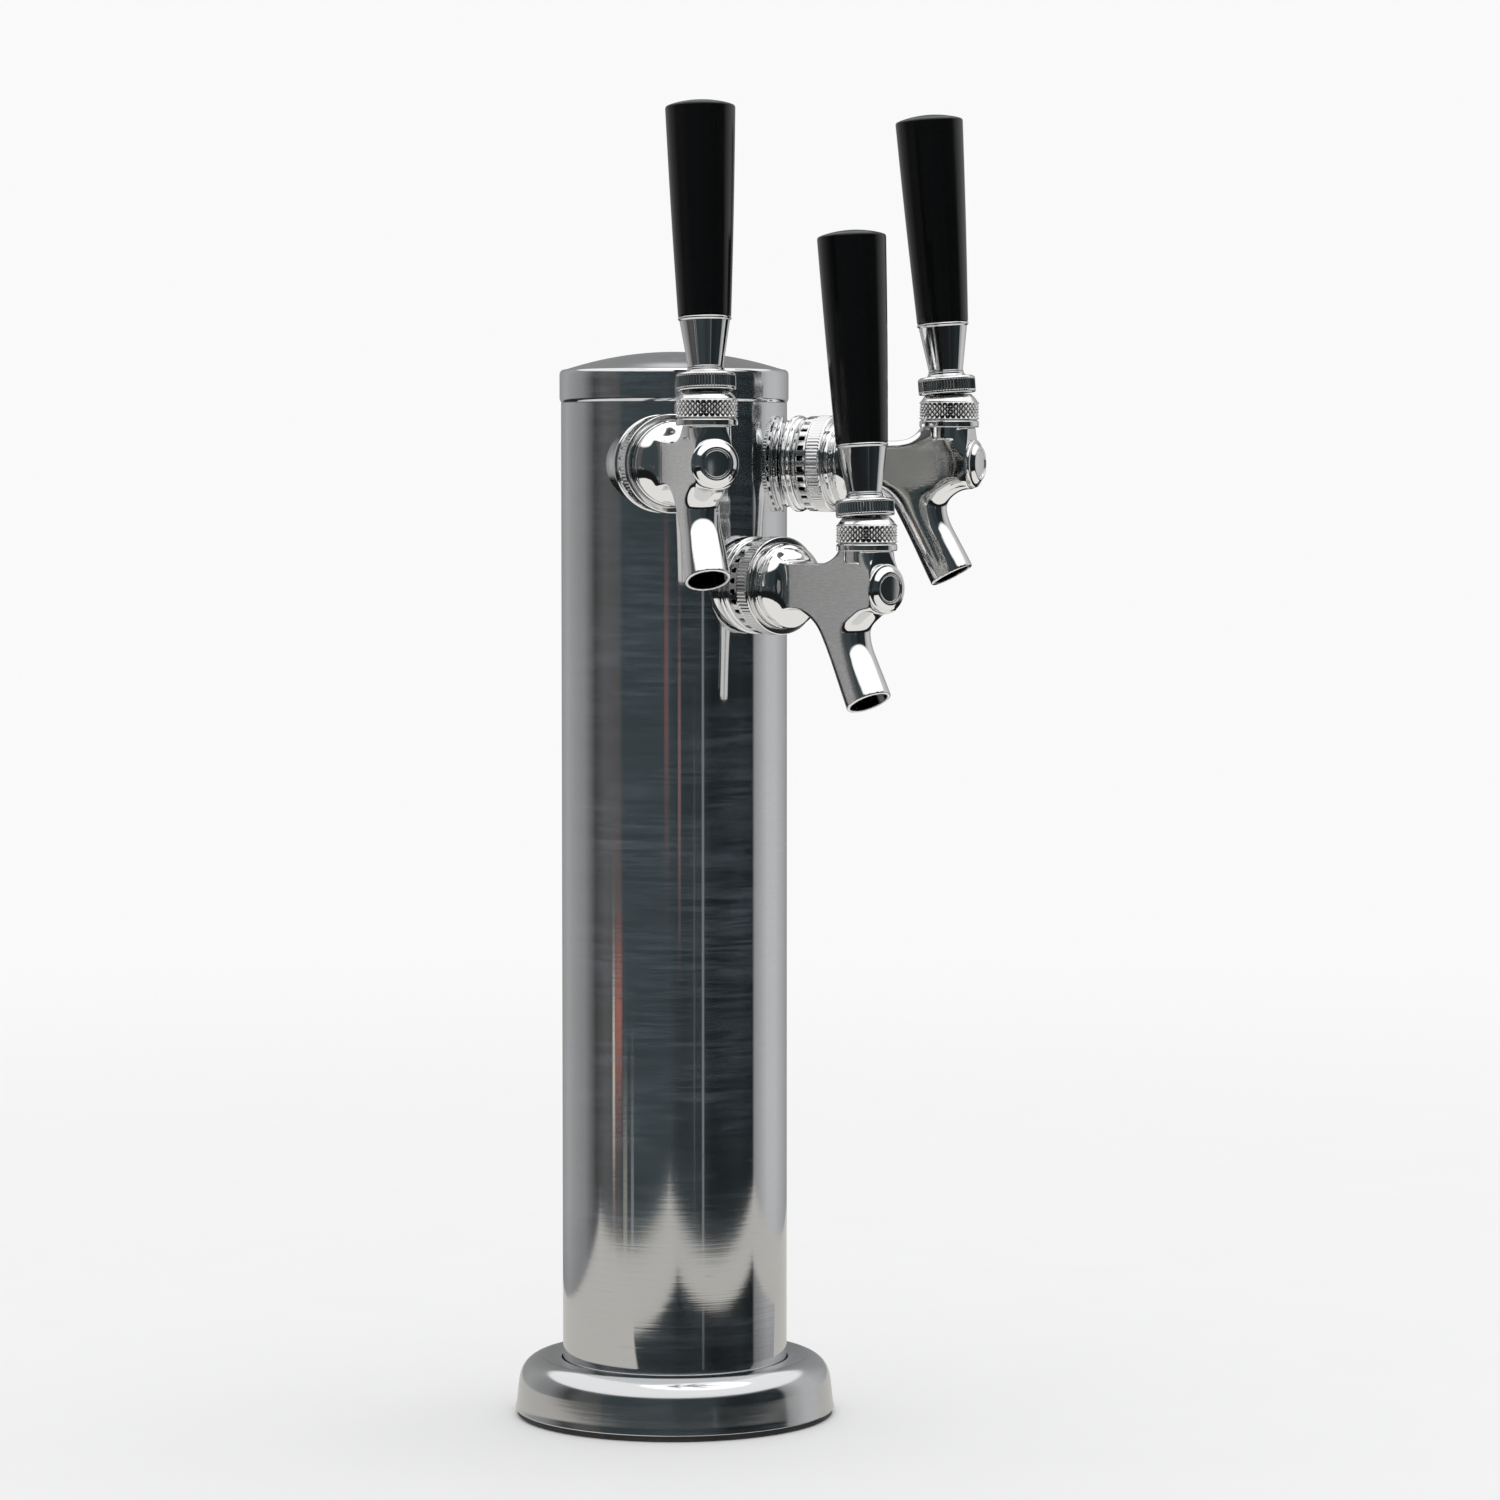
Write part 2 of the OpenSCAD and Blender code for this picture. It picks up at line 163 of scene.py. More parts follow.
def lathe(profile, segments=96, relief=None):
    """Vertices and faces of a turned solid. A profile that starts and ends on the axis is a solid
    bar; any other profile is a closed loop around a hole. relief(angle, r, z) returns a new r."""
    on_axis = profile[0][0] == 0 and profile[-1][0] == 0
    rings = profile[1:-1] if on_axis else profile
    angles = np.linspace(0, 2 * math.pi, segments, endpoint=False)
    verts = []
    for r, z in rings:
        radii = np.full(segments, float(r))
        if relief is not None:
            radii = relief(angles, radii, z)
        verts += list(zip(radii * np.cos(angles), radii * np.sin(angles), np.full(segments, z)))
    faces = []
    spans = len(rings) - 1 if on_axis else len(rings)
    for i in range(spans):
        a = i * segments
        b = ((i + 1) % len(rings)) * segments
        for k in range(segments):
            n = (k + 1) % segments
            faces.append((a + k, b + k, b + n, a + n))
    if on_axis:
        start = len(verts)
        verts.append((0, 0, profile[0][1]))
        verts.append((0, 0, profile[-1][1]))
        last = (len(rings) - 1) * segments
        for k in range(segments):
            n = (k + 1) % segments
            faces.append((start, k, n))
            faces.append((start + 1, last + n, last + k))
    return verts, faces


def make_piece(name, data, matrix, body, nodes, material, sharp=35):
    """Object in metres from vertices in millimetres, riding on a body in place of CAD nodes."""
    verts, faces = data
    mesh = bpy.data.meshes.new(name)
    mesh.from_pydata([(x * MM, y * MM, z * MM) for x, y, z in verts], [], faces)
    mesh.update()
    obj = bpy.data.objects.new(name, mesh)
    bpy.context.scene.collection.objects.link(obj)
    outward_normals(mesh)
    mesh.polygons.foreach_set("use_smooth", [True] * len(mesh.polygons))
    mesh.set_sharp_from_angle(angle=math.radians(sharp))
    obj.matrix_world = matrix
    add_to_frame(obj, body, nodes, material)
    return obj


def outward_normals(mesh):
    """Makes all faces of a closed mesh point outwards."""
    bm = bmesh.new()
    bm.from_mesh(mesh)
    bmesh.ops.recalc_face_normals(bm, faces=bm.faces)
    bm.to_mesh(mesh)
    bm.free()


def add_to_frame(obj, body, nodes, material):
    obj.data.materials.clear()
    obj.data.materials.append(material)
    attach(obj, body)
    if nodes:
        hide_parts(*nodes)


def flat_faces_stay_flat(obj):
    """Weighted normals, so that a small round beside a flat doesn't bend its shading."""
    weighted = obj.modifiers.new("weighted_normals", "WEIGHTED_NORMAL")
    weighted.keep_sharp = True


# ---- distance fields for the faucet casting ----


def blend_min(a, b, k):
    h = np.clip(0.5 + 0.5 * (b - a) / k, 0, 1)
    return b + (a - b) * h - k * h * (1 - h)


def blend_max(a, b, k):
    return -blend_min(-a, -b, k)


def bar_field(radial, along, start, end, radius, edge=0.0):
    """Distance to a round bar with rounded ends, from its radial and axial coordinates."""
    q_r = radial - radius + edge
    q_a = np.abs(along - (start + end) / 2) - (end - start) / 2 + edge
    outside = np.sqrt(np.maximum(q_r, 0) ** 2 + np.maximum(q_a, 0) ** 2)
    return outside + np.minimum(np.maximum(q_r, q_a), 0) - edge


def block_field(x, u, h, centre, half, edge):
    q = [np.abs(v - c) - s + edge for v, c, s in zip((x, u, h), centre, half)]
    outside = np.sqrt(sum(np.maximum(v, 0) ** 2 for v in q))
    return outside + np.minimum(np.maximum(np.maximum(q[0], q[1]), q[2]), 0) - edge


def smooth_step(value):
    value = np.clip(value, 0, 1)
    return value * value * (3 - 2 * value)


def spout_frame(x, u, h):
    """Coordinates about the spout: distance from its axis and distance beyond its outlet."""
    down_u = math.sin(SPOUT_ANGLE)
    down_h = -math.cos(SPOUT_ANGLE)
    beyond = (u - OUTLET_U) * down_u + (h - OUTLET_H) * down_h
    aside = (u - OUTLET_U) * down_h - (h - OUTLET_H) * down_u
    return np.sqrt(x ** 2 + aside ** 2), beyond


def faucet_bores(x, u, h):
    """Signed distances to the passages drilled in the faucet body."""
    from_axis = np.sqrt(x ** 2 + h ** 2)
    from_lever = np.sqrt(x ** 2 + (u - LEVER_U) ** 2)
    from_spout, beyond = spout_frame(x, u, h)
    return (
        bar_field(from_axis, u, -6, 6, 6.3),
        bar_field(from_axis, u, 5, 11, 3.6),
        bar_field(from_axis, u, 10, 47, 4.25),
        bar_field(from_axis, u, 45.9, 53, 5.1),
        bar_field(from_lever, h, 9.8, 20, 6.08),
        bar_field(from_lever, h, 0, 12, 5.5),
        bar_field(from_spout, beyond, -34, 5, 4.6),
        bar_field(from_spout, beyond, -6, 5, 6.25),
    )


def faucet_field(x, u, h, edge):
    """Signed distance to the faucet body: x sideways, u outwards, h upwards, in millimetres.
    edge is how far its flat sides are rounded over."""
    flat_half = 6.4
    stem_widening = 0.5
    outlet_widening = 1.4
    from_axis = np.sqrt(x ** 2 + h ** 2)
    from_lever = np.sqrt(x ** 2 + (u - LEVER_U) ** 2)
    from_spout, beyond = spout_frame(x, u, h)

    flare = smooth_step(1 + beyond / 20)
    bar = block_field(x, u, h, (0, 20, 0), (9, 18, 7.6), 1.2)
    spout = bar_field(from_spout, beyond, -36, 4, 7.1) - 0.4 * flare
    boss = bar_field(from_axis, u, 32, BOSS_U + 3, 7.4)
    stem = bar_field(from_lever, h, -6, 12, 8.8, 0.4)
    casting = blend_min(boss, spout, 15)
    casting = blend_min(casting, bar, 8)
    casting = blend_min(casting, stem, 6)
    widening = stem_widening * smooth_step((h - 3) / 9) + outlet_widening * flare
    casting = blend_max(casting, np.abs(x) - flat_half - widening, edge)
    dome = bar_field(from_axis, u, 0.1, 8, 14.6, 7.3)
    casting = blend_min(casting, dome, 3)
    casting = blend_max(casting, u - BOSS_U, 0.4)
    casting = blend_max(casting, 0.1 - u, 0.3)
    neck = bar_field(from_lever, h, 8, 16.9, 7.7, 0.3)
    tail = bar_field(from_axis, u, -4, 2, 14.0, 0.3)
    casting = np.minimum(np.minimum(casting, neck), tail)
    casting = blend_max(casting, beyond, 0.5)
    for bore in faucet_bores(x, u, h):
        casting = blend_max(casting, -bore, 0.4)
    return casting


def surface_mesh(field, low, high, cell, passes=4):
    """Quads on the zero surface of a distance field, one vertex in each cell it crosses."""
    axes = [np.arange(low[i], high[i] + cell, cell) for i in range(3)]
    value = field(*np.meshgrid(*axes, indexing="ij")).astype(np.float32)
    shape = [n - 1 for n in value.shape]
    total = np.zeros(shape + [3], np.float32)
    hits = np.zeros(shape, np.float32)
    corners = [(i, j, k) for i in (0, 1) for j in (0, 1) for k in (0, 1)]

    def corner(c):
        return value[tuple(slice(c[n], c[n] + shape[n]) for n in range(3))]

    for a in corners:
        for axis in range(3):
            if a[axis]:
                continue
            b = tuple(1 if n == axis else a[n] for n in range(3))
            va, vb = corner(a), corner(b)
            crossed = (va < 0) != (vb < 0)
            t = np.where(crossed, va / np.where(crossed, va - vb, 1), 0)
            for n in range(3):
                step = t if n == axis else 0
                total[..., n] += np.where(crossed, a[n] + step, 0)
            hits += crossed
    used = hits > 0
    index = np.full(shape, -1, np.int64)
    index[used] = np.arange(int(used.sum()))
    cells = np.argwhere(used)
    points = (cells + total[used] / hits[used][:, None]) * cell + np.array(low)

    quads = []
    inside = value < 0
    for axis in range(3):
        n1, n2 = (axis + 1) % 3, (axis + 2) % 3
        here = [slice(1, -1)] * 3
        here[axis] = slice(0, -1)
        there = list(here)
        there[axis] = slice(1, None)
        first = inside[tuple(here)]
        second = inside[tuple(there)]
        for sign, crossed in ((1, first & ~second), (-1, ~first & second)):
            at = np.argwhere(crossed)
            at[:, n1] += 1
            at[:, n2] += 1
            ring = []
            for d1, d2 in ((0, 0), (-1, 0), (-1, -1), (0, -1)):
                c = at.copy()
                c[:, n1] += d1
                c[:, n2] += d2
                ring.append(index[c[:, 0], c[:, 1], c[:, 2]])
            quads.append(np.stack(ring[::sign], axis=1))
    quads = np.concatenate(quads)

    # slide each vertex along the field's slope onto the surface
    nudge = 0.02
    least_slope = 0.5
    for _ in range(passes):
        x, y, z = points.T
        here = field(x, y, z)
        slope = np.stack([
            (field(x + nudge, y, z) - field(x - nudge, y, z)),
            (field(x, y + nudge, z) - field(x, y - nudge, z)),
            (field(x, y, z + nudge) - field(x, y, z - nudge)),
        ], axis=1) / (2 * nudge)
        length_squared = np.maximum((slope ** 2).sum(1), least_slope ** 2)
        move = -(here / length_squared)[:, None] * slope
        points = points + np.clip(move, -cell / 2, cell / 2)
    return points, quads


# ---- materials ----

# Sockets of a Mix node that is set to mix colours.
MIX_FACTOR, MIX_A, MIX_B, MIX_COLOR = 0, 6, 7, 2


class Graph:
    """Short names for building one material's nodes."""

    def __init__(self, name):
        self.material = bpy.data.materials.new(name)
        self.material.use_nodes = True
        self.tree = self.material.node_tree
        self.bsdf = self.tree.nodes["Principled BSDF"]
        self.coords = self.tree.nodes.new("ShaderNodeTexCoord")

    def node(self, kind, inputs=None, **settings):
        made = self.tree.nodes.new(kind)
        for key, value in settings.items():
            setattr(made, key, value)
        for key, value in (inputs or {}).items():
            self.put(made.inputs[key], value)
        return made

    def put(self, socket, value):
        if hasattr(value, "is_output"):
            self.tree.links.new(value, socket)
        else:
            socket.default_value = value

    def set(self, **values):
        for key, value in values.items():
            self.put(self.bsdf.inputs[key.replace("_", " ")], value)

    def math(self, operation, a, b=0.0, c=0.0, clamp=False):
        made = self.node("ShaderNodeMath", operation=operation, use_clamp=clamp)
        for socket, value in zip(made.inputs, (a, b, c)):
            self.put(socket, value)
        return made.outputs[0]

    def stretch(self, x, y, z):
        """Object coordinates scaled to so many noise cells per metre along each axis."""
        scaled = self.node("ShaderNodeMapping")
        self.put(scaled.inputs["Vector"], self.coords.outputs["Object"])
        scaled.inputs["Scale"].default_value = (x, y, z)
        return scaled.outputs[0]

    def noise(self, vector, scale, detail=3.0, rough=0.5):
        made = self.node("ShaderNodeTexNoise",
                         {"Vector": vector, "Scale": scale, "Detail": detail, "Roughness": rough})
        return made.outputs["Fac"]

    def span(self, value, low, high, from_low=0.0, from_high=1.0):
        made = self.node("ShaderNodeMapRange", {
            "Value": value, "From Min": from_low, "From Max": from_high,
            "To Min": low, "To Max": high})
        return made.outputs["Result"]

    def blend(self, factor, a, b):
        made = self.node("ShaderNodeMix", data_type="RGBA")
        self.put(made.inputs[MIX_FACTOR], factor)
        self.put(made.inputs[MIX_A], a)
        self.put(made.inputs[MIX_B], b)
        return made.outputs[MIX_COLOR]

    def bump(self, height, distance, strength=1.0, normal=None):
        made = self.node("ShaderNodeBump",
                         {"Height": height, "Distance": distance, "Strength": strength})
        if normal is not None:
            self.put(made.inputs["Normal"], normal)
        return made.outputs["Normal"]


def grey(value, blue=0.0):
    return (value * (1 - blue), value, value * (1 + blue), 1.0)


# Colour of the painted shade laid into recesses, slots, grooves and bores.
PAINTED_SHADE_TONE = grey(0.03)
FILM_TONE = (0.52, 0.62, 0.72, 1)


def turned_steel(name, tone, rough, grain=0.35, blur=0.6, haze=0.1):
    """Polished steel with fine circular lines around Z, cloudy wiped patches and a few scuffs."""
    g = Graph(name)
    lines = g.noise(g.stretch(12, 12, 900), 1.0, 4.0, 0.65)
    cloud = g.noise(g.stretch(16, 16, 30), 1.0, 3.0, 0.6)
    wisps = g.noise(g.stretch(40, 40, 620), 1.0, 4.0, 0.75)
    scuff = g.noise(g.stretch(40, 40, 420), 1.0, 2.0, 0.7)
    scuffed = g.math("GREATER_THAN", scuff, 0.70)
    wiped = g.math("MULTIPLY", g.span(cloud, 0, 1, 0.36, 0.62), g.span(wisps, 0, 1, 0.40, 0.64))
    base = g.blend(cloud, grey(tone * 0.95, 0.01), grey(tone * 1.05, 0.015))
    base = g.blend(g.math("MULTIPLY", scuffed, 0.12), base, grey(tone * 0.7))
    roughness = g.math("ADD", g.span(cloud, rough * 0.8, rough * 1.3, 0.3, 0.7),
                       g.math("MULTIPLY", scuffed, 0.04))
    tangent = g.node("ShaderNodeTangent", direction_type="RADIAL", axis="Z")
    normal = g.bump(lines, 0.00002, grain)
    g.set(Base_Color=base, Metallic=1.0, Roughness=roughness, Anisotropic=blur,
          Anisotropic_Rotation=0.25, Tangent=tangent.outputs[0], Normal=normal)
    film = g.node("ShaderNodeBsdfDiffuse", {"Color": FILM_TONE, "Normal": normal})
    mix = g.node("ShaderNodeMixShader")
    g.put(mix.inputs[0], g.math("MULTIPLY", wiped, haze))
    g.put(mix.inputs[1], g.bsdf.outputs[0])
    g.put(mix.inputs[2], film.outputs[0])
    g.put(g.tree.nodes["Material Output"].inputs["Surface"], mix.outputs[0])
    return g.material


def faucet_chrome(name, low, high, side_tone, scatter):
    """Bright chrome; faces square to the casting's flat sides are ground, between the low and
    high roughness, in fine strokes."""
    g = Graph(name)
    normal = g.node("ShaderNodeSeparateXYZ", {"Vector": g.coords.outputs["Normal"]})
    sideways = g.math("ABSOLUTE", normal.outputs["X"])
    place = g.node("ShaderNodeSeparateXYZ", {"Vector": g.coords.outputs["Object"]})
    past_dome = g.math("LESS_THAN", place.outputs["Y"], -0.0055)
    satin = g.math("MULTIPLY", g.span(sideways, 0, 1, 0.965, 0.995), past_dome)
    strokes = g.noise(g.stretch(300, 300, 1900), 1.0, 3.0, 0.7)
    cloud = g.noise(g.stretch(110, 110, 110), 1.0, 3.0, 0.6)
    polish = g.span(cloud, 0.025, 0.09, 0.3, 0.7)
    ground = g.span(strokes, low, high, 0.25, 0.75)
    mix = g.node("ShaderNodeMix", data_type="FLOAT")
    g.put(mix.inputs[0], satin)
    g.put(mix.inputs[2], polish)
    g.put(mix.inputs[3], ground)
    worn = g.blend(g.span(strokes, 0, 1, 0.35, 0.65), grey(0.66), side_tone)
    tone = g.blend(satin, grey(0.80), worn)
    lines = g.math("MULTIPLY", g.math("SUBTRACT", strokes, 0.5), satin)
    ripple = g.bump(g.noise(g.stretch(140, 140, 140), 1.0, 2.0, 0.5), 0.00012, 0.35)
    # Painted shade: the colour turns dark where the mesh marks a recess.
    painted_recess_shade = g.node("ShaderNodeAttribute", attribute_name="painted_recess_shade").outputs["Fac"]
    tone = g.blend(painted_recess_shade, tone, PAINTED_SHADE_TONE)
    normal = g.bump(lines, 0.00003, 0.6, ripple)
    g.set(Base_Color=tone, Metallic=1.0, Roughness=mix.outputs[0], Normal=normal)
    scattered = g.node("ShaderNodeBsdfDiffuse", {"Color": grey(0.62), "Normal": normal})
    surface = g.node("ShaderNodeMixShader")
    g.put(surface.inputs[0], g.math("MULTIPLY", satin, scatter))
    g.put(surface.inputs[1], g.bsdf.outputs[0])
    g.put(surface.inputs[2], scattered.outputs[0])
    g.put(g.tree.nodes["Material Output"].inputs["Surface"], surface.outputs[0])
    return g.material


def turned_chrome(name, tone, rough):
    """Chrome on turned rings and nuts: painted shade and a rougher finish from dirt in its
    grooves, and painted shade in marked recesses.
    """
    g = Graph(name)
    cloud = g.noise(g.stretch(160, 160, 160), 1.0, 3.0, 0.6)
    rings = g.noise(g.stretch(60, 60, 2600), 1.0, 2.0, 0.6)
    groove = g.node("ShaderNodeNewGeometry").outputs["Pointiness"]
    # Concave grooves get painted shade in their colour, and the dirt in them makes them rougher.
    groove_dirt_and_shade = g.span(groove, 1.0, 0.0, 0.42, 0.5)
    tint = g.blend(g.math("MULTIPLY", groove_dirt_and_shade, 0.75, clamp=True), grey(tone), (0.16, 0.155, 0.15, 1))
    # Painted shade where the mesh marks a recess.
    painted_recess_shade = g.node("ShaderNodeAttribute", attribute_name="painted_recess_shade").outputs["Fac"]
    tint = g.blend(painted_recess_shade, tint, PAINTED_SHADE_TONE)
    g.set(Base_Color=tint, Metallic=1.0,
          Roughness=g.math("ADD", g.span(cloud, rough * 0.6, rough * 1.6, 0.3, 0.7),
                           g.math("MULTIPLY", groove_dirt_and_shade, 0.2, clamp=True)),
          Normal=g.bump(rings, 0.000005, 0.35))
    return g.material


def black_handle():
    """Gloss black moulded plastic: faint waves, hairline scratches and dull rubbed areas."""
    g = Graph("black_handle")
    wave = g.noise(g.stretch(90, 90, 40), 1.0, 2.0, 0.5)
    peel = g.noise(g.stretch(900, 900, 900), 1.0, 2.0, 0.5)
    hairs = g.noise(g.stretch(1500, 1500, 60), 1.0, 2.0, 0.8)
    scratched = g.math("GREATER_THAN", hairs, 0.70)
    rubbed = g.noise(g.stretch(35, 35, 22), 1.0, 3.0, 0.6)
    roughness = g.math("ADD", g.span(rubbed, 0.14, 0.26, 0.3, 0.7),
                       g.math("MULTIPLY", scratched, 0.10))
    base = g.blend(g.math("MULTIPLY", scratched, 0.35), (0.0035, 0.0037, 0.0038, 1), grey(0.012))
    height = g.math("ADD", g.math("MULTIPLY", wave, 3.0), g.math("MULTIPLY", peel, 0.25))
    g.set(Base_Color=base, Roughness=roughness, IOR=1.45,
          Normal=g.bump(height, 0.00006, 0.4))
    return g.material


def plain_metal(name, color, rough):
    """Turned metal of the hidden fittings: tool marks and uneven tarnish."""
    g = Graph(name)
    marks = g.noise(g.stretch(60, 60, 1500), 1.0, 3.0, 0.6)
    tarnish = g.noise(g.stretch(90, 90, 90), 1.0, 4.0, 0.6)
    dull = tuple(c * 0.55 for c in color) + (1.0,)
    g.set(Base_Color=g.blend(g.span(tarnish, 0, 0.7, 0.4, 0.75), color + (1.0,), dull),
          Metallic=1.0, Roughness=g.span(tarnish, rough * 0.8, rough * 1.6, 0.3, 0.7),
          Normal=g.bump(marks, 0.00002, 0.5))
    return g.material


def soft_material(name, color, rough, grain, depth, clear=0.0):
    """Rubber, foam, vinyl and moulded white plastic: fine grain, dust and slight colour change."""
    g = Graph(name)
    cells = g.noise(g.stretch(grain, grain, grain), 1.0, 4.0, 0.6)
    dust = g.noise(g.stretch(70, 70, 70), 1.0, 3.0, 0.6)
    light = tuple(min(1.0, c * 1.35 + 0.01) for c in color) + (1.0,)
    g.set(Base_Color=g.blend(g.span(dust, 0, 1, 0.35, 0.7), color + (1.0,), light),
          Roughness=g.span(cells, rough * 0.85, min(1.0, rough * 1.2)),
          Transmission_Weight=clear, IOR=1.5,
          Normal=g.bump(cells, depth, 0.5))
    return g.material


MATERIALS = {
    "column_steel": turned_steel("column_steel", 0.68, 0.06),
    "cap_steel": turned_steel("cap_steel", 0.68, 0.09),
    "base_steel": turned_steel("base_steel", 0.60, 0.12, 0.5, 0.3),
    "plate_steel": plain_metal("plate_steel", (0.46, 0.46, 0.45), 0.32),
    "satin_faucet": faucet_chrome("satin_faucet", 0.40, 0.56, (0.90, 0.89, 0.87, 1), 0.45),
    "polished_faucet": faucet_chrome("polished_faucet", 0.05, 0.11, (0.72, 0.71, 0.66, 1), 0),
    "ring_chrome": turned_chrome("ring_chrome", 0.80, 0.07),
    "nut_chrome": turned_chrome("nut_chrome", 0.76, 0.1),
    "lever_steel": plain_metal("lever_steel", (0.62, 0.62, 0.61), 0.22),
    "brass": plain_metal("brass", (0.72, 0.52, 0.22), 0.26),
    "rubber": soft_material("rubber", (0.018, 0.018, 0.019), 0.62, 700, 0.00006),
    "foam": soft_material("foam", (0.07, 0.07, 0.075), 0.9, 420, 0.0003),
    "vinyl": soft_material("vinyl", (0.72, 0.77, 0.77), 0.22, 240, 0.00003, 0.55),
    "white_plastic": soft_material("white_plastic", (0.78, 0.78, 0.75), 0.4, 900, 0.00002),
    "handle_black": black_handle(),
}

# ---- column, cap and base ----


def tube_between(r_out, r_in, rows, segments):
    """Grid of a tube wall with a row of vertices at each height and small bevels outside."""
    bevel = 0.25
    profile = [(r_out - bevel, rows[0]), (r_out, rows[0] + bevel)]
    profile += [(r_out, z) for z in rows[1:-1]]
    profile += [(r_out, rows[-1] - bevel), (r_out - bevel, rows[-1]), (r_in, rows[-1])]
    profile += [(r_in, z) for z in reversed(rows[:-1])]
    return lathe(profile, segments)


def build_column():
    """Tube with a round hole cut through its wall for each tap's shank."""
    row_count = 44
    segments = 256
    hole_reach = 50
    hole_segments = 96
    rows = list(np.linspace(COLUMN_FOOT, COLUMN_TOP, row_count))
    data = tube_between(COLUMN_R, COLUMN_R - COLUMN_WALL, rows, segments)
    column = make_piece("polished_column", data, Matrix.Identity(4), "tower",
                        ["column_tube"], MATERIALS["column_steel"])
    cutters = []
    for side in SIDES:
        cutter = bpy.data.meshes.new("hole_" + side)
        bar = [(0, -hole_reach), (SHANK_HOLE_R, -hole_reach), (SHANK_HOLE_R, 0), (0, 0)]
        verts, faces = lathe(bar, hole_segments)
        cutter.from_pydata([(x * MM, y * MM, z * MM) for x, y, z in verts], [], faces)
        outward_normals(cutter)
        tool = bpy.data.objects.new("hole_" + side, cutter)
        bpy.context.scene.collection.objects.link(tool)
        tool.matrix_world = outward_matrix(side)
        cutters.append(tool)
    for tool in cutters:
        hole = column.modifiers.new(tool.name, "BOOLEAN")
        hole.operation = "DIFFERENCE"
        hole.solver = "EXACT"
        hole.object = tool
    apply_modifiers(column)
    column.data.set_sharp_from_angle(angle=math.radians(35))
    for tool in cutters:
        mesh = tool.data
        bpy.data.objects.remove(tool)
        bpy.data.meshes.remove(mesh)


def apply_modifiers(obj):
    graph = bpy.context.evaluated_depsgraph_get()
    done = bpy.data.meshes.new_from_object(obj.evaluated_get(graph))
    obj.modifiers.clear()
    old = obj.data
    obj.data = done
    bpy.data.meshes.remove(old)


def build_cap():
    """Thin domed cap with a rounded rim and a lip that plugs into the tube."""
    shell = 1.4
    plug = COLUMN_R - COLUMN_WALL - 0.1
    corner = 2.0
    rise = CAP_APEX - CAP_RIM
    lip_low = COLUMN_TOP - 4
    dome_steps = 16
    dome = []
    for i in range(dome_steps + 1):
        r = (CAP_R - corner) * (1 - i / dome_steps)
        dome.append((r, CAP_RIM + rise * (1 - (r / (CAP_R - corner)) ** 2)))
    edge = rounded([(CAP_R - 0.5, COLUMN_TOP + 0.05, 0), (CAP_R, COLUMN_TOP + 0.9, 0.7),
                    (CAP_R, CAP_RIM, 1.9), (CAP_R - corner, CAP_RIM + 0.05, 0)], False, 7)
    under = [(r, z - shell) for r, z in reversed(dome) if r < plug - shell]
    lip = rounded([(plug - shell, CAP_RIM - 3.0, 0), (plug - shell, lip_low, 0.3),
                   (plug, lip_low, 0.4), (plug, COLUMN_TOP + 0.05, 0)], False)
    outer = [(0, dome[-1][1])] + list(reversed(dome[1:-1])) + list(reversed(edge))
    inner = list(reversed(lip)) + list(reversed(under))
    profile = outer + inner[:-1] + [(0, under[0][1])]
    cap = make_piece("domed_cap", lathe(profile, 192), Matrix.Identity(4), "cap",
                     ["top_cap"], MATERIALS["cap_steel"])
    flat_faces_stay_flat(cap)


def build_base():
    """Hollow ring over the foot of the column, rounded at the shoulder."""
    inside = COLUMN_R + 0.4
    profile = rounded([
        (PLATE_R + 0.2, GASKET_T, 0.3),
        (BASE_FOOT_R, GASKET_T, 0.5),
        (BASE_FOOT_R - 0.5, 3.4, 0.8),
        (BASE_FOOT_R - 2.2, BASE_CROWN - 0.6, 8.0),
        (COLUMN_R + 4.4, BASE_CROWN + 0.15, 2.6),
        (inside, BASE_CROWN - 0.5, 0.35),
        (inside, COLUMN_FOOT + 0.2, 0.3),
        (PLATE_R + 0.2, COLUMN_FOOT + 0.2, 0.3),
    ], True, 12)
    ring = make_piece("rounded_base_ring", lathe(profile, 192), Matrix.Identity(4), "tower",
                      ["base_ring"], MATERIALS["base_steel"])
    flat_faces_stay_flat(ring)


# ---- pieces of each tap ----


def column_side_of_tap(side):
    """Where the column axis stands in the faucet frame, in millimetres: (sideways, inwards)."""
    to_column = faucet_matrix(side).inverted() @ Vector((0, 0, 0))
    return to_column.x / MM, to_column.y / MM


def build_collar(side):
    """Saddle: round at the wall flange and shaped to the column behind."""
    column_x, column_y = column_side_of_tap(side)
    segments = 96
    wall_gap = 0.04
    most_flare = 0.5
    front = FLANGE_BACK
    loops = ((COLLAR_R, 0.0), (COLLAR_R, 0.25), (COLLAR_R, 0.5), (COLLAR_R, 0.75), (COLLAR_R, 1.0),
             (SHANK_HOLE_R, 1.0), (SHANK_HOLE_R, 0.5), (SHANK_HOLE_R, 0.0))
    verts = []
    for radius, share in loops:
        for k in range(segments):
            a = 2 * math.pi * k / segments
            x = radius * math.cos(a)
            z = radius * math.sin(a)
            wall = column_y - math.sqrt((COLUMN_R + wall_gap) ** 2 - (x - column_x) ** 2)
            flare = most_flare * share ** 3 if radius == COLLAR_R else 0
            grow = 1 + flare / radius
            y = front + (wall - front) * share
            verts.append((x * grow, y, z * grow))
    faces = []
    for i in range(len(loops)):
        j = (i + 1) % len(loops)
        for k in range(segments):
            n = (k + 1) % segments
            faces.append((i * segments + k, j * segments + k, j * segments + n, i * segments + n))
    make_piece(side + "_saddle_collar", (verts, faces), faucet_matrix(side), "tower",
               [side + "_collar"], MATERIALS["ring_chrome"])


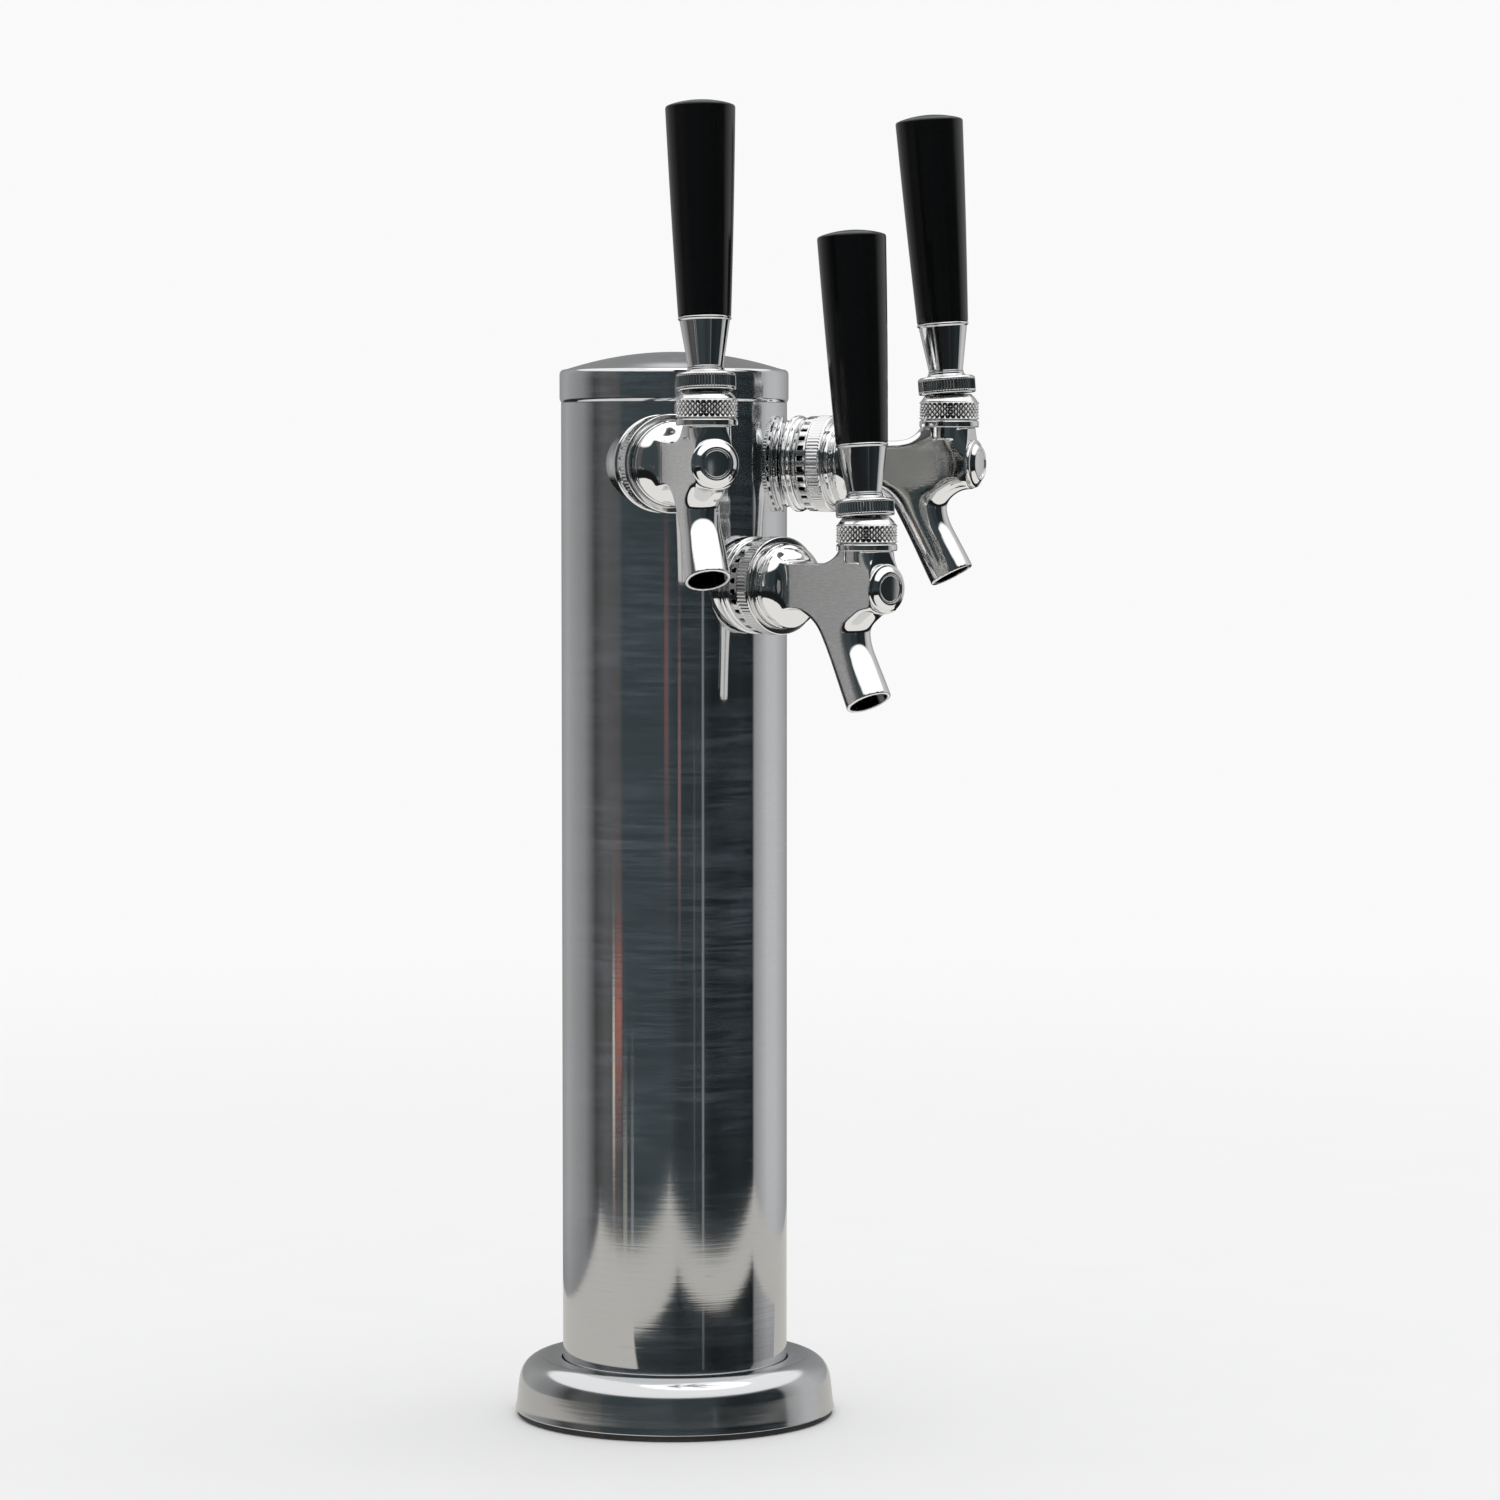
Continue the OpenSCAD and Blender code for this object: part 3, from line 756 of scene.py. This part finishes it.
def build_wall_flange(side):
    """Stepped ring between the collar and the coupling nut."""
    back = -FLANGE_BACK
    profile = rounded([
        (SHANK_R + 0.05, back, 0.2), (16.2, back, 0.5), (16.2, back + 1.7, 0.6),
        (15.5, back + 1.9, 0.15), (15.5, back + 3.4, 0.9), (13.4, back + 3.4, 0.3),
        (13.0, back + 3.0, 0.3), (SHANK_R + 0.05, back + 3.0, 0.2),
    ])
    ring = make_piece(side + "_wall_ring", lathe(profile, 128), outward_matrix(side), "tower",
                      [side + "_wall_flange"], MATERIALS["ring_chrome"])
    flat_faces_stay_flat(ring)


def paint_shade_in_recesses(piece, depth):
    """Stores how deep each vertex lies in a groove, from 0 to 1, for the chrome materials to paint
    shade into.
    """
    painted_recess_shade = piece.data.attributes.new("painted_recess_shade", "FLOAT", "POINT")
    painted_recess_shade.data.foreach_set("value", np.asarray(depth, np.float32))


def groove_depth(verts, low, high, outer, depth):
    """Share of the depth below the outer radius, for the vertices of a band."""
    x, y, z = np.array(verts).T
    below = outer - np.hypot(x, y)
    in_band = (z > low) & (z < high) & (below < depth * 1.5)
    return np.clip(below / depth, 0, 1) * in_band


def build_coupling_nut(side):
    """Back band with spanner slots, front band with fine ribs, and a plain rim on each side."""
    back = -NUT_LENGTH
    outer = 16.2
    slots = 28
    slot_depth = 1.6
    half_slot = 0.22
    slot_slope = 20
    ribs = 84
    segments = ribs * 8
    rib_depth = 0.13
    rib_end = 0.3
    slot_low, slot_high = back + 2.3, back + 4.5
    rib_low, rib_high = -5.3, -0.9

    def relief(angle, r, z):
        if r[0] < outer - 0.9:
            return r
        turn = (angle / (2 * math.pi) * slots) % 1
        in_slot = np.clip((half_slot - np.abs(turn - 0.5)) * slot_slope, 0, 1)
        if slot_low <= z <= slot_high:
            r = r - slot_depth * in_slot
        turn = (angle / (2 * math.pi) * ribs) % 1
        in_groove = 0.5 + 0.5 * np.cos(2 * math.pi * turn)
        if rib_low <= z <= rib_high:
            ends = min(1.0, (z - rib_low) / rib_end, (rib_high - z) / rib_end)
            r = r - rib_depth * in_groove * ends
        return r

    corners = [
        (SHANK_R + 0.05, back, 0.2), (outer - 0.7, back, 0.5), (outer - 0.7, back + 1.6, 0.3),
        (outer - 0.2, back + 1.9, 0.2), (outer - 0.2, -5.6, 0.1), (outer, -5.4, 0.1),
        (outer, 0, 0.45), (14.06, 0, 0.3), (14.06, -7.9, 0), (SHANK_R + 0.05, -7.9, 0.2),
    ]
    profile = spaced(rounded(corners, True, 3), back + 1.9, -0.4, 0.2)
    data = lathe(profile, segments, relief)
    nut = make_piece(side + "_ribbed_nut", data, outward_matrix(side), "tower",
                     [side + "_coupling_nut"], MATERIALS["nut_chrome"])
    # Painted shade in the bottoms of the spanner slots.
    depth = groove_depth(data[0], slot_low, slot_high, outer - 0.2, slot_depth)
    paint_shade_in_recesses(nut, depth ** 2)


# How far the flat sides of each casting are rounded over by hand polishing.
POLISHED_EDGE = {"left": 1.8, "center": 1.2, "right": 3.0}


def build_body(side):
    """The faucet casting, meshed from its distance field."""
    grid_low = (-15.2, -4.6, -43.0)
    grid_high = (15.2, 49.2, 17.8)
    cell = 0.42
    bore_shade_reach = 0.3

    def field(x, u, h):
        return faucet_field(x, u, h, POLISHED_EDGE[side])

    finish = "polished_faucet" if side == "right" else "satin_faucet"
    points, quads = surface_mesh(field, grid_low, grid_high, cell)
    data = [(x, -u, h) for x, u, h in points], [tuple(q) for q in quads]
    body = make_piece(side + "_cast_body", data, faucet_matrix(side), "tower",
                      [side + "_body"], MATERIALS[finish], 60)
    # Painted shade on the walls of the bores, fading out just outside them.
    nearest_bore = np.minimum.reduce(faucet_bores(*points.T))
    paint_shade_in_recesses(body, np.clip(1 - nearest_bore / bore_shade_reach, 0, 1))


def diamond(angle, z, count, pitch):
    """Height from 0 to 1 of a diamond knurl made of two crossing sets of grooves."""
    turn = angle / (2 * math.pi) * count
    one = np.abs(((turn + z / pitch) % 1) - 0.5) * 2
    two = np.abs(((turn - z / pitch) % 1) - 0.5) * 2
    return np.minimum(one, two)


def build_bonnet(side):
    """Knurled ring nut over the ball socket, with a dome centred on the ball."""
    low, high = 15.0, 20.2
    outer = 9.95
    knurl_count = 32
    knurl_pitch = 1.9
    knurl_depth = 0.7
    knurl_end = 0.25
    groove_shade = 0.85
    shaded_depth = 0.55
    segments = 400
    dome_r = 11.3
    dome_low_r, dome_high_r = 9.0, 7.3
    dome_steps = 8

    def relief(angle, r, z):
        if low <= z <= high and r[0] > outer - 0.3:
            ends = min(1.0, (z - low) / knurl_end, (high - z) / knurl_end)
            r = r - knurl_depth * (1 - diamond(angle, z, knurl_count, knurl_pitch)) * ends
        return r

    dome = []
    for i in range(dome_steps + 1):
        r = dome_low_r - (dome_low_r - dome_high_r) * i / dome_steps
        dome.append((r, BALL_H + math.sqrt(dome_r ** 2 - r ** 2), 0))
    corners = [
        (7.75, 12.05, 0.2), (9.9, 12.05, 0.4), (9.9, 14.1, 0.4), (9.3, 14.45, 0.15),
        (9.3, 14.65, 0.1), (outer, 14.9, 0.15), (outer, 20.3, 0.2), (9.35, 20.7, 0.2),
        *dome, (6.95, 23.22, 0.15), (6.9, 18.5, 0.1), (7.75, 18.5, 0.1),
    ]
    profile = spaced(rounded(corners, True, 4), 14.9, 20.3, 0.13)
    data = lathe(profile, segments, relief)
    bonnet = make_piece(side + "_knurled_bonnet", data, faucet_on_lever_axis(side), "tower",
                        [side + "_bonnet"], MATERIALS["nut_chrome"], 40)
    # Painted shade in the bottoms of the knurl grooves.
    depth = groove_depth(data[0], low, high, outer - 0.1, shaded_depth)
    paint_shade_in_recesses(bonnet, groove_shade * depth)


def faucet_on_lever_axis(side):
    """Faucet frame moved out to the upright axis of the lever socket."""
    return faucet_matrix(side) @ Matrix.Translation((0, -LEVER_U * MM, 0))


def build_front_plug(side):
    """Plug with a coned flange around a flat round face."""
    profile = rounded([
        (0, 46.2, 0), (4.9, 46.2, 0.3), (4.9, BOSS_U + 0.1, 0), (7.4, BOSS_U + 0.05, 0.2),
        (7.95, BOSS_U + 0.6, 0.4), (7.95, FRONT_U - 1.7, 0.4), (6.9, FRONT_U - 1.35, 0.35),
        (5.5, FRONT_U, 0.4), (4.75, FRONT_U, 0.15), (4.7, FRONT_U - 0.9, 0.15),
        (4.4, FRONT_U - 0.9, 0.15), (4.2, FRONT_U - 0.3, 0.2), (0, FRONT_U - 0.25, 0),
    ], False, 6)
    make_piece(side + "_boss_plug", lathe(profile, 128), outward_matrix(side), "tower",
               [side + "_front_plug"], MATERIALS["ring_chrome"], 30)


def build_lever_nut(side):
    """Round jam nut with a straight knurl and a hollow underside."""
    low = NUT_LOW
    outer = 9.55
    rib_count = 64
    segments = rib_count * 7
    rib_depth = 0.34
    rib_end = 0.2
    band_low, band_high = low + 0.9, low + 4.7

    def relief(angle, r, z):
        if band_low <= z <= band_high and r[0] > outer - 0.2:
            ends = min(1.0, (z - band_low) / rib_end, (band_high - z) / rib_end)
            rib = np.abs(((angle / (2 * math.pi) * rib_count) % 1) - 0.5) * 2
            r = r - rib_depth * (1 - rib) * ends
        return r

    corners = [
        (8.1, low + 0.1, 0.1), (9.2, low, 0.15), (outer, low + 0.4, 0.2), (outer, low + 5.1, 0.25),
        (8.7, low + 5.75, 0.4), (6.9, low + 5.8, 0.4), (6.1, low + 6.3, 0.3),
        (6.0, low + 7.15, 0.2), (4.75, low + 7.15, 0.2), (4.75, low + 2.2, 0.1),
        (8.1, low + 2.2, 0.3),
    ]
    profile = spaced(rounded(corners, True, 4), low + 0.4, low + 5.2, 0.16)
    make_piece(side + "_jam_nut", lathe(profile, segments, relief), lever_matrix(side),
               side + "_handle_set", [side + "_lever_nut"],
               MATERIALS["nut_chrome"], 40)


def build_ferrule(side):
    """Straight chrome cone with a thin bead at the handle and a small foot."""
    low = 15.9
    top = HANDLE_FOOT - 0.06
    profile = rounded([
        (4.75, low, 0.1), (5.6, low, 0.2), (5.85, low + 0.3, 0.2), (5.7, low + 0.7, 0.2),
        (8.05, top - 1.15, 0.2), (8.55, top - 0.95, 0.3), (8.6, top - 0.25, 0.3),
        (8.3, top, 0.2), (4.75, top, 0.1),
    ], True, 6)
    ferrule = make_piece(side + "_chrome_ferrule", lathe(profile, 128), lever_matrix(side),
                         side + "_handle_set", [side + "_ferrule"],
                         MATERIALS["ring_chrome"])
    flat_faces_stay_flat(ferrule)


def build_handle(side):
    """Tapered grip with a crisp rim and a low crowned top."""
    foot_r, top_r = 8.5, 11.2
    crown = 1.9
    crown_r = (top_r ** 2 + crown ** 2) / (2 * crown)
    most_swell = 0.16
    side_steps = 24
    crown_steps = 11
    bore_r = 4.75
    bore_top = HANDLE_FOOT + 17
    shoulder = HANDLE_TOP - crown - 0.9
    profile = [(0, bore_top), (bore_r, bore_top), (bore_r, HANDLE_FOOT),
               (foot_r - 0.35, HANDLE_FOOT), (foot_r - 0.08, HANDLE_FOOT + 0.12)]
    for i in range(side_steps + 1):
        t = i / side_steps
        swell = most_swell * math.sin(math.pi * t)
        z = HANDLE_FOOT + 0.4 + (shoulder - HANDLE_FOOT - 0.4) * t
        profile.append((foot_r + (top_r - foot_r) * t + swell, z))
    rim = rounded([(top_r, shoulder + 0.1, 0), (top_r + 0.01, shoulder + 0.95, 0.8),
                   (top_r - 1.1, shoulder + 1.15, 0)], False, 6)
    profile += rim
    for i in range(crown_steps + 1):
        r = (top_r - 1.3) * (1 - i / crown_steps)
        profile.append((r, HANDLE_TOP - crown_r + math.sqrt(crown_r ** 2 - r ** 2)))
    make_piece(side + "_tap_handle", lathe(profile, 128), lever_matrix(side),
               side + "_handle_set", [side + "_handle"],
               MATERIALS["handle_black"], 40)


build_column()
build_cap()
build_base()
for side in SIDES:
    build_collar(side)
    build_wall_flange(side)
    build_coupling_nut(side)
    build_body(side)
    build_bonnet(side)
    build_front_plug(side)
    build_lever_nut(side)
    build_ferrule(side)
    build_handle(side)

# ---- CAD nodes that stay as they are, with their finishes ----

KEPT_NODES = {
    "base_plate": "plate_steel", "base_gasket": "rubber", "foam_sleeve": "foam",
    "inner_saddles": "plate_steel", "shank_nuts": "brass", "shank_gaskets": "rubber",
    "elbow_tailpieces": "brass", "tail_nuts": "brass", "beer_lines": "vinyl",
    "hose_clamps": "plate_steel", "ball_seats": "white_plastic", "ball_washers": "white_plastic",
}
for side in SIDES:
    KEPT_NODES[side + "_shank"] = "ring_chrome"
    KEPT_NODES[side + "_shaft"] = "plate_steel"
    KEPT_NODES[side + "_seat_washer"] = "rubber"
    KEPT_NODES[side + "_lever"] = "lever_steel"
for node, finish in KEPT_NODES.items():
    obj = frame["nodes"][node]
    obj.data.materials.clear()
    obj.data.materials.append(MATERIALS[finish])

# ---- studio: pale floor, soft light, and what the polished metal reflects ----

CAMERA_AZIMUTH = math.radians(-41.3)
TO_CAMERA = Vector((math.sin(CAMERA_AZIMUTH), -math.cos(CAMERA_AZIMUTH), 0))
CAMERA_RIGHT = Vector((math.cos(CAMERA_AZIMUTH), math.sin(CAMERA_AZIMUTH), 0))

BACKDROP = (0.95, 0.95, 0.95, 1.0)

# Brightness around the horizon: degrees to the right of the camera, then how bright it is.
# A pale wall on the left, a dark gap, a dim room in front and a pale wall on the right.
ROOM = (
    (-180, 0.25), (-140, 0.45), (-105, 0.30), (-88, 0.07), (-75, 0.12), (-58, 0.10),
    (-54, 0.065), (-5, 0.06), (5, 0.04), (25, 0.045), (40, 0.02), (70, 0.03), (87, 0.02),
    (90, 0.35), (110, 0.65), (125, 0.65), (160, 0.35), (180, 0.25),
)
# The dim room in front is slightly cool.
COOL_FROM, COOL_TO = -55, 88
COOL = (0.8, 1.05, 1.15)

# Narrow things seen in the room, as (angle, half width, lowest, highest, colour), in degrees.
ROOM_STREAKS = (
    (-59, 5.0, -7.0, -5.8, (0.6, 0.2, 0.15)), (-65, 2.0, -8.0, -6.0, (0.8, 0.7, 0.6)),
    (-52, 3.0, -11.5, -7.5, (0.35, 0.35, 0.3)), (-44, 2.0, -11.5, -7.5, (0.3, 0.3, 0.3)),
    (-8, 3.0, -4.0, -1.0, (0.2, 0.1, 0.1)), (5, 2.0, -5.0, -2.0, (0.25, 0.15, 0.15)),
    (29, 1.5, -11.5, 1.5, (0.25, 0.25, 0.25)), (20, 1.0, -9.0, -3.0, (0.1, 0.1, 0.1)),
)


def room_color(angle, brightness):
    if COOL_FROM < angle < COOL_TO:
        return tuple(brightness * tint for tint in COOL) + (1.0,)
    return grey(brightness)


def build_world():
    """The surroundings that the metal reflects: the room around the horizon, a bright ceiling
    and a dark floor. The camera itself sees the plain backdrop."""
    ceiling_from, ceiling_to = math.radians(29), math.radians(34)
    floor_from, floor_to = math.radians(-8), math.radians(-13)
    ceiling = grey(1.25)
    dark_floor = (0.012, 0.013, 0.014, 1.0)
    streak_core = 0.45
    streak_spread = 1.2
    world = bpy.data.worlds.new("studio")
    bpy.context.scene.world = world
    world.use_nodes = True
    tree = world.node_tree
    tree.nodes.clear()

    def node(kind, **settings):
        made = tree.nodes.new(kind)
        for key, value in settings.items():
            setattr(made, key, value)
        return made

    def dot(vector):
        made = node("ShaderNodeVectorMath", operation="DOT_PRODUCT")
        tree.links.new(coords.outputs["Generated"], made.inputs[0])
        made.inputs[1].default_value = vector
        return made.outputs["Value"]

    def fade(value, zero_at, one_at):
        """Rises smoothly from 0 to 1 between the two values."""
        made = node("ShaderNodeMapRange", interpolation_type="SMOOTHSTEP")
        tree.links.new(value, made.inputs["Value"])
        made.inputs["From Min"].default_value = zero_at
        made.inputs["From Max"].default_value = one_at
        return made.outputs["Result"]

    def near(value, middle, reach):
        """1 at the middle, falling smoothly to 0 at its reach."""
        off = node("ShaderNodeMath", operation="SUBTRACT")
        tree.links.new(value, off.inputs[0])
        off.inputs[1].default_value = middle
        size = node("ShaderNodeMath", operation="ABSOLUTE")
        tree.links.new(off.outputs[0], size.inputs[0])
        return fade(size.outputs[0], reach, reach * streak_core)

    def blend(factor, under, color):
        """Lays a plain colour over another one by the given share."""
        made = node("ShaderNodeMix", data_type="RGBA")
        tree.links.new(factor, made.inputs[MIX_FACTOR])
        tree.links.new(under, made.inputs[MIX_A])
        made.inputs[MIX_B].default_value = color
        return made.outputs[MIX_COLOR]

    coords = node("ShaderNodeTexCoord")
    turn = node("ShaderNodeMath", operation="ARCTAN2")
    tree.links.new(dot(CAMERA_RIGHT), turn.inputs[0])
    tree.links.new(dot(TO_CAMERA), turn.inputs[1])
    share = node("ShaderNodeMapRange")
    tree.links.new(turn.outputs[0], share.inputs["Value"])
    share.inputs["From Min"].default_value = -math.pi
    share.inputs["From Max"].default_value = math.pi
    ramp = node("ShaderNodeValToRGB")
    tree.links.new(share.outputs["Result"], ramp.inputs["Fac"])
    stops = ramp.color_ramp.elements
    for angle, brightness in ROOM[1:-1]:
        stops.new((angle + 180) / 360).color = room_color(angle, brightness)
    stops[0].color = room_color(*ROOM[0])
    stops[-1].color = room_color(*ROOM[-1])

    room = ramp.outputs["Color"]
    level = dot((0, 0, 1))
    for angle, half_width, lowest, highest, color in ROOM_STREAKS:
        lowest, highest = (math.sin(math.radians(edge)) for edge in (lowest, highest))
        both = node("ShaderNodeMath", operation="MULTIPLY")
        tree.links.new(near(turn.outputs[0], math.radians(angle), math.radians(half_width)),
                       both.inputs[0])
        tree.links.new(near(level, (lowest + highest) / 2,
                            (highest - lowest) / 2 * streak_spread), both.inputs[1])
        room = blend(both.outputs[0], room, color + (1.0,))
    room = blend(fade(level, math.sin(floor_from), math.sin(floor_to)), room, dark_floor)
    room = blend(fade(level, math.sin(ceiling_from), math.sin(ceiling_to)), room, ceiling)
    seen = blend(node("ShaderNodeLightPath").outputs["Is Camera Ray"], room, BACKDROP)
    background = node("ShaderNodeBackground")
    tree.links.new(seen, background.inputs["Color"])
    output = node("ShaderNodeOutputWorld")
    tree.links.new(background.outputs[0], output.inputs["Surface"])


def build_floor():
    """Pale floor that fades into the background far away. Reflections see it as a counter of
    limited size with a dark tray at the front, and as a pale surface from straight above."""
    radius = 6000
    thickness = 2
    drop = 0.0004
    # the rest is in metres, and the tray's back edge is at a slight slant
    counter_x, counter_y = (-0.43, 0.41), (-0.41, 0.26)
    tray_x = (-0.23, 0.255)
    tray_front, tray_back, tray_slant = -0.29, -0.047, 0.05
    fade_from, fade_to = 0.35, 1.6
    steep_from = 0.45
    counter_glow = (0.62, 0.60, 0.56, 1)
    steep_glow = (0.90, 0.89, 0.86, 1)
    verts, faces = lathe([(0, -thickness), (radius, -thickness), (radius, 0), (0, 0)], 64)
    mesh = bpy.data.meshes.new("studio_floor")
    mesh.from_pydata([(x * MM, y * MM, z * MM) for x, y, z in verts], [], faces)
    outward_normals(mesh)
    floor = bpy.data.objects.new("studio_floor", mesh)
    bpy.context.scene.collection.objects.link(floor)
    floor.location.z = -drop
    g = Graph("studio_floor")
    speckle = g.noise(g.stretch(25, 25, 25), 1.0, 3.0, 0.5)
    g.set(Base_Color=g.blend(speckle, grey(0.86), grey(0.88)), Roughness=0.6)
    place = g.node("ShaderNodeSeparateXYZ", {"Vector": g.coords.outputs["Object"]})

    def within(axis, low, high):
        value = place.outputs[axis]
        return g.math("MULTIPLY", g.math("GREATER_THAN", value, low),
                      g.math("LESS_THAN", value, high))

    slanted = g.math("MULTIPLY_ADD", place.outputs["X"], tray_slant, place.outputs["Y"])
    tray = g.math("MULTIPLY", g.math("LESS_THAN", slanted, tray_back),
                  g.math("GREATER_THAN", place.outputs["Y"], tray_front))
    tray = g.math("MULTIPLY", tray, within("X", *tray_x))
    counter = g.math("MULTIPLY", within("X", *counter_x), within("Y", *counter_y))
    counter = g.math("MULTIPLY", counter, g.math("SUBTRACT", 1.0, tray))
    toward = g.node("ShaderNodeSeparateXYZ",
                    {"Vector": g.node("ShaderNodeNewGeometry").outputs["Incoming"]})
    steep = g.math("GREATER_THAN", toward.outputs["Z"], steep_from)
    counter = g.math("MAXIMUM", counter, steep)
    reflected = g.node("ShaderNodeMixShader")
    g.put(reflected.inputs[0], counter)
    g.put(reflected.inputs[1], g.node("ShaderNodeBsdfTransparent").outputs[0])
    glow = g.blend(steep, counter_glow, steep_glow)
    g.put(reflected.inputs[2], g.node("ShaderNodeEmission", {"Color": glow}).outputs[0])
    far = g.node("ShaderNodeVectorMath", {"Vector": g.coords.outputs["Object"]},
                 operation="LENGTH")
    fade = g.node("ShaderNodeMapRange", {
        "Value": far.outputs["Value"], "From Min": fade_from, "From Max": fade_to},
        interpolation_type="SMOOTHSTEP")
    backdrop = g.node("ShaderNodeEmission", {"Color": BACKDROP})
    path = g.node("ShaderNodeLightPath")
    faded = g.node("ShaderNodeMixShader")
    g.put(faded.inputs[0], g.math("MULTIPLY", fade.outputs["Result"],
                                  path.outputs["Is Camera Ray"]))
    g.put(faded.inputs[1], g.bsdf.outputs[0])
    g.put(faded.inputs[2], backdrop.outputs[0])
    mix = g.node("ShaderNodeMixShader")
    g.put(mix.inputs[0], path.outputs["Is Glossy Ray"])
    g.put(mix.inputs[1], faded.outputs[0])
    g.put(mix.inputs[2], reflected.outputs[0])
    g.put(g.tree.nodes["Material Output"].inputs["Surface"], mix.outputs[0])
    mesh.materials.append(g.material)


def area_light(name, location, target, size, power):
    """Round soft light aimed at a point."""
    data = bpy.data.lights.new(name, "AREA")
    data.shape = "DISK"
    data.size = size
    data.energy = power
    light = bpy.data.objects.new(name, data)
    bpy.context.scene.collection.objects.link(light)
    light.location = location
    aim = Vector(target) - Vector(location)
    light.rotation_euler = aim.to_track_quat("-Z", "Y").to_euler()


def build_camera():
    """Camera on the photograph's line of sight, framed closer on the tower."""
    distance = 1.6745
    eye = 0.3229
    aim_right = 0.0256
    aim_height = 0.2256
    data = bpy.data.cameras.new("camera")
    data.lens = 118.9
    camera = bpy.data.objects.new("camera", data)
    bpy.context.scene.collection.objects.link(camera)
    camera.location = TO_CAMERA * distance + Vector((0, 0, eye))
    target = CAMERA_RIGHT * aim_right + Vector((0, 0, aim_height))
    camera.rotation_euler = (target - camera.location).to_track_quat("-Z", "Y").to_euler()
    bpy.context.scene.camera = camera


build_world()
build_floor()
area_light("overhead_softbox", location=(0.4, -0.3, 3.2), target=(0, 0, 0.2), size=2.6, power=14)
build_camera()
bpy.context.scene.view_settings.view_transform = "Standard"
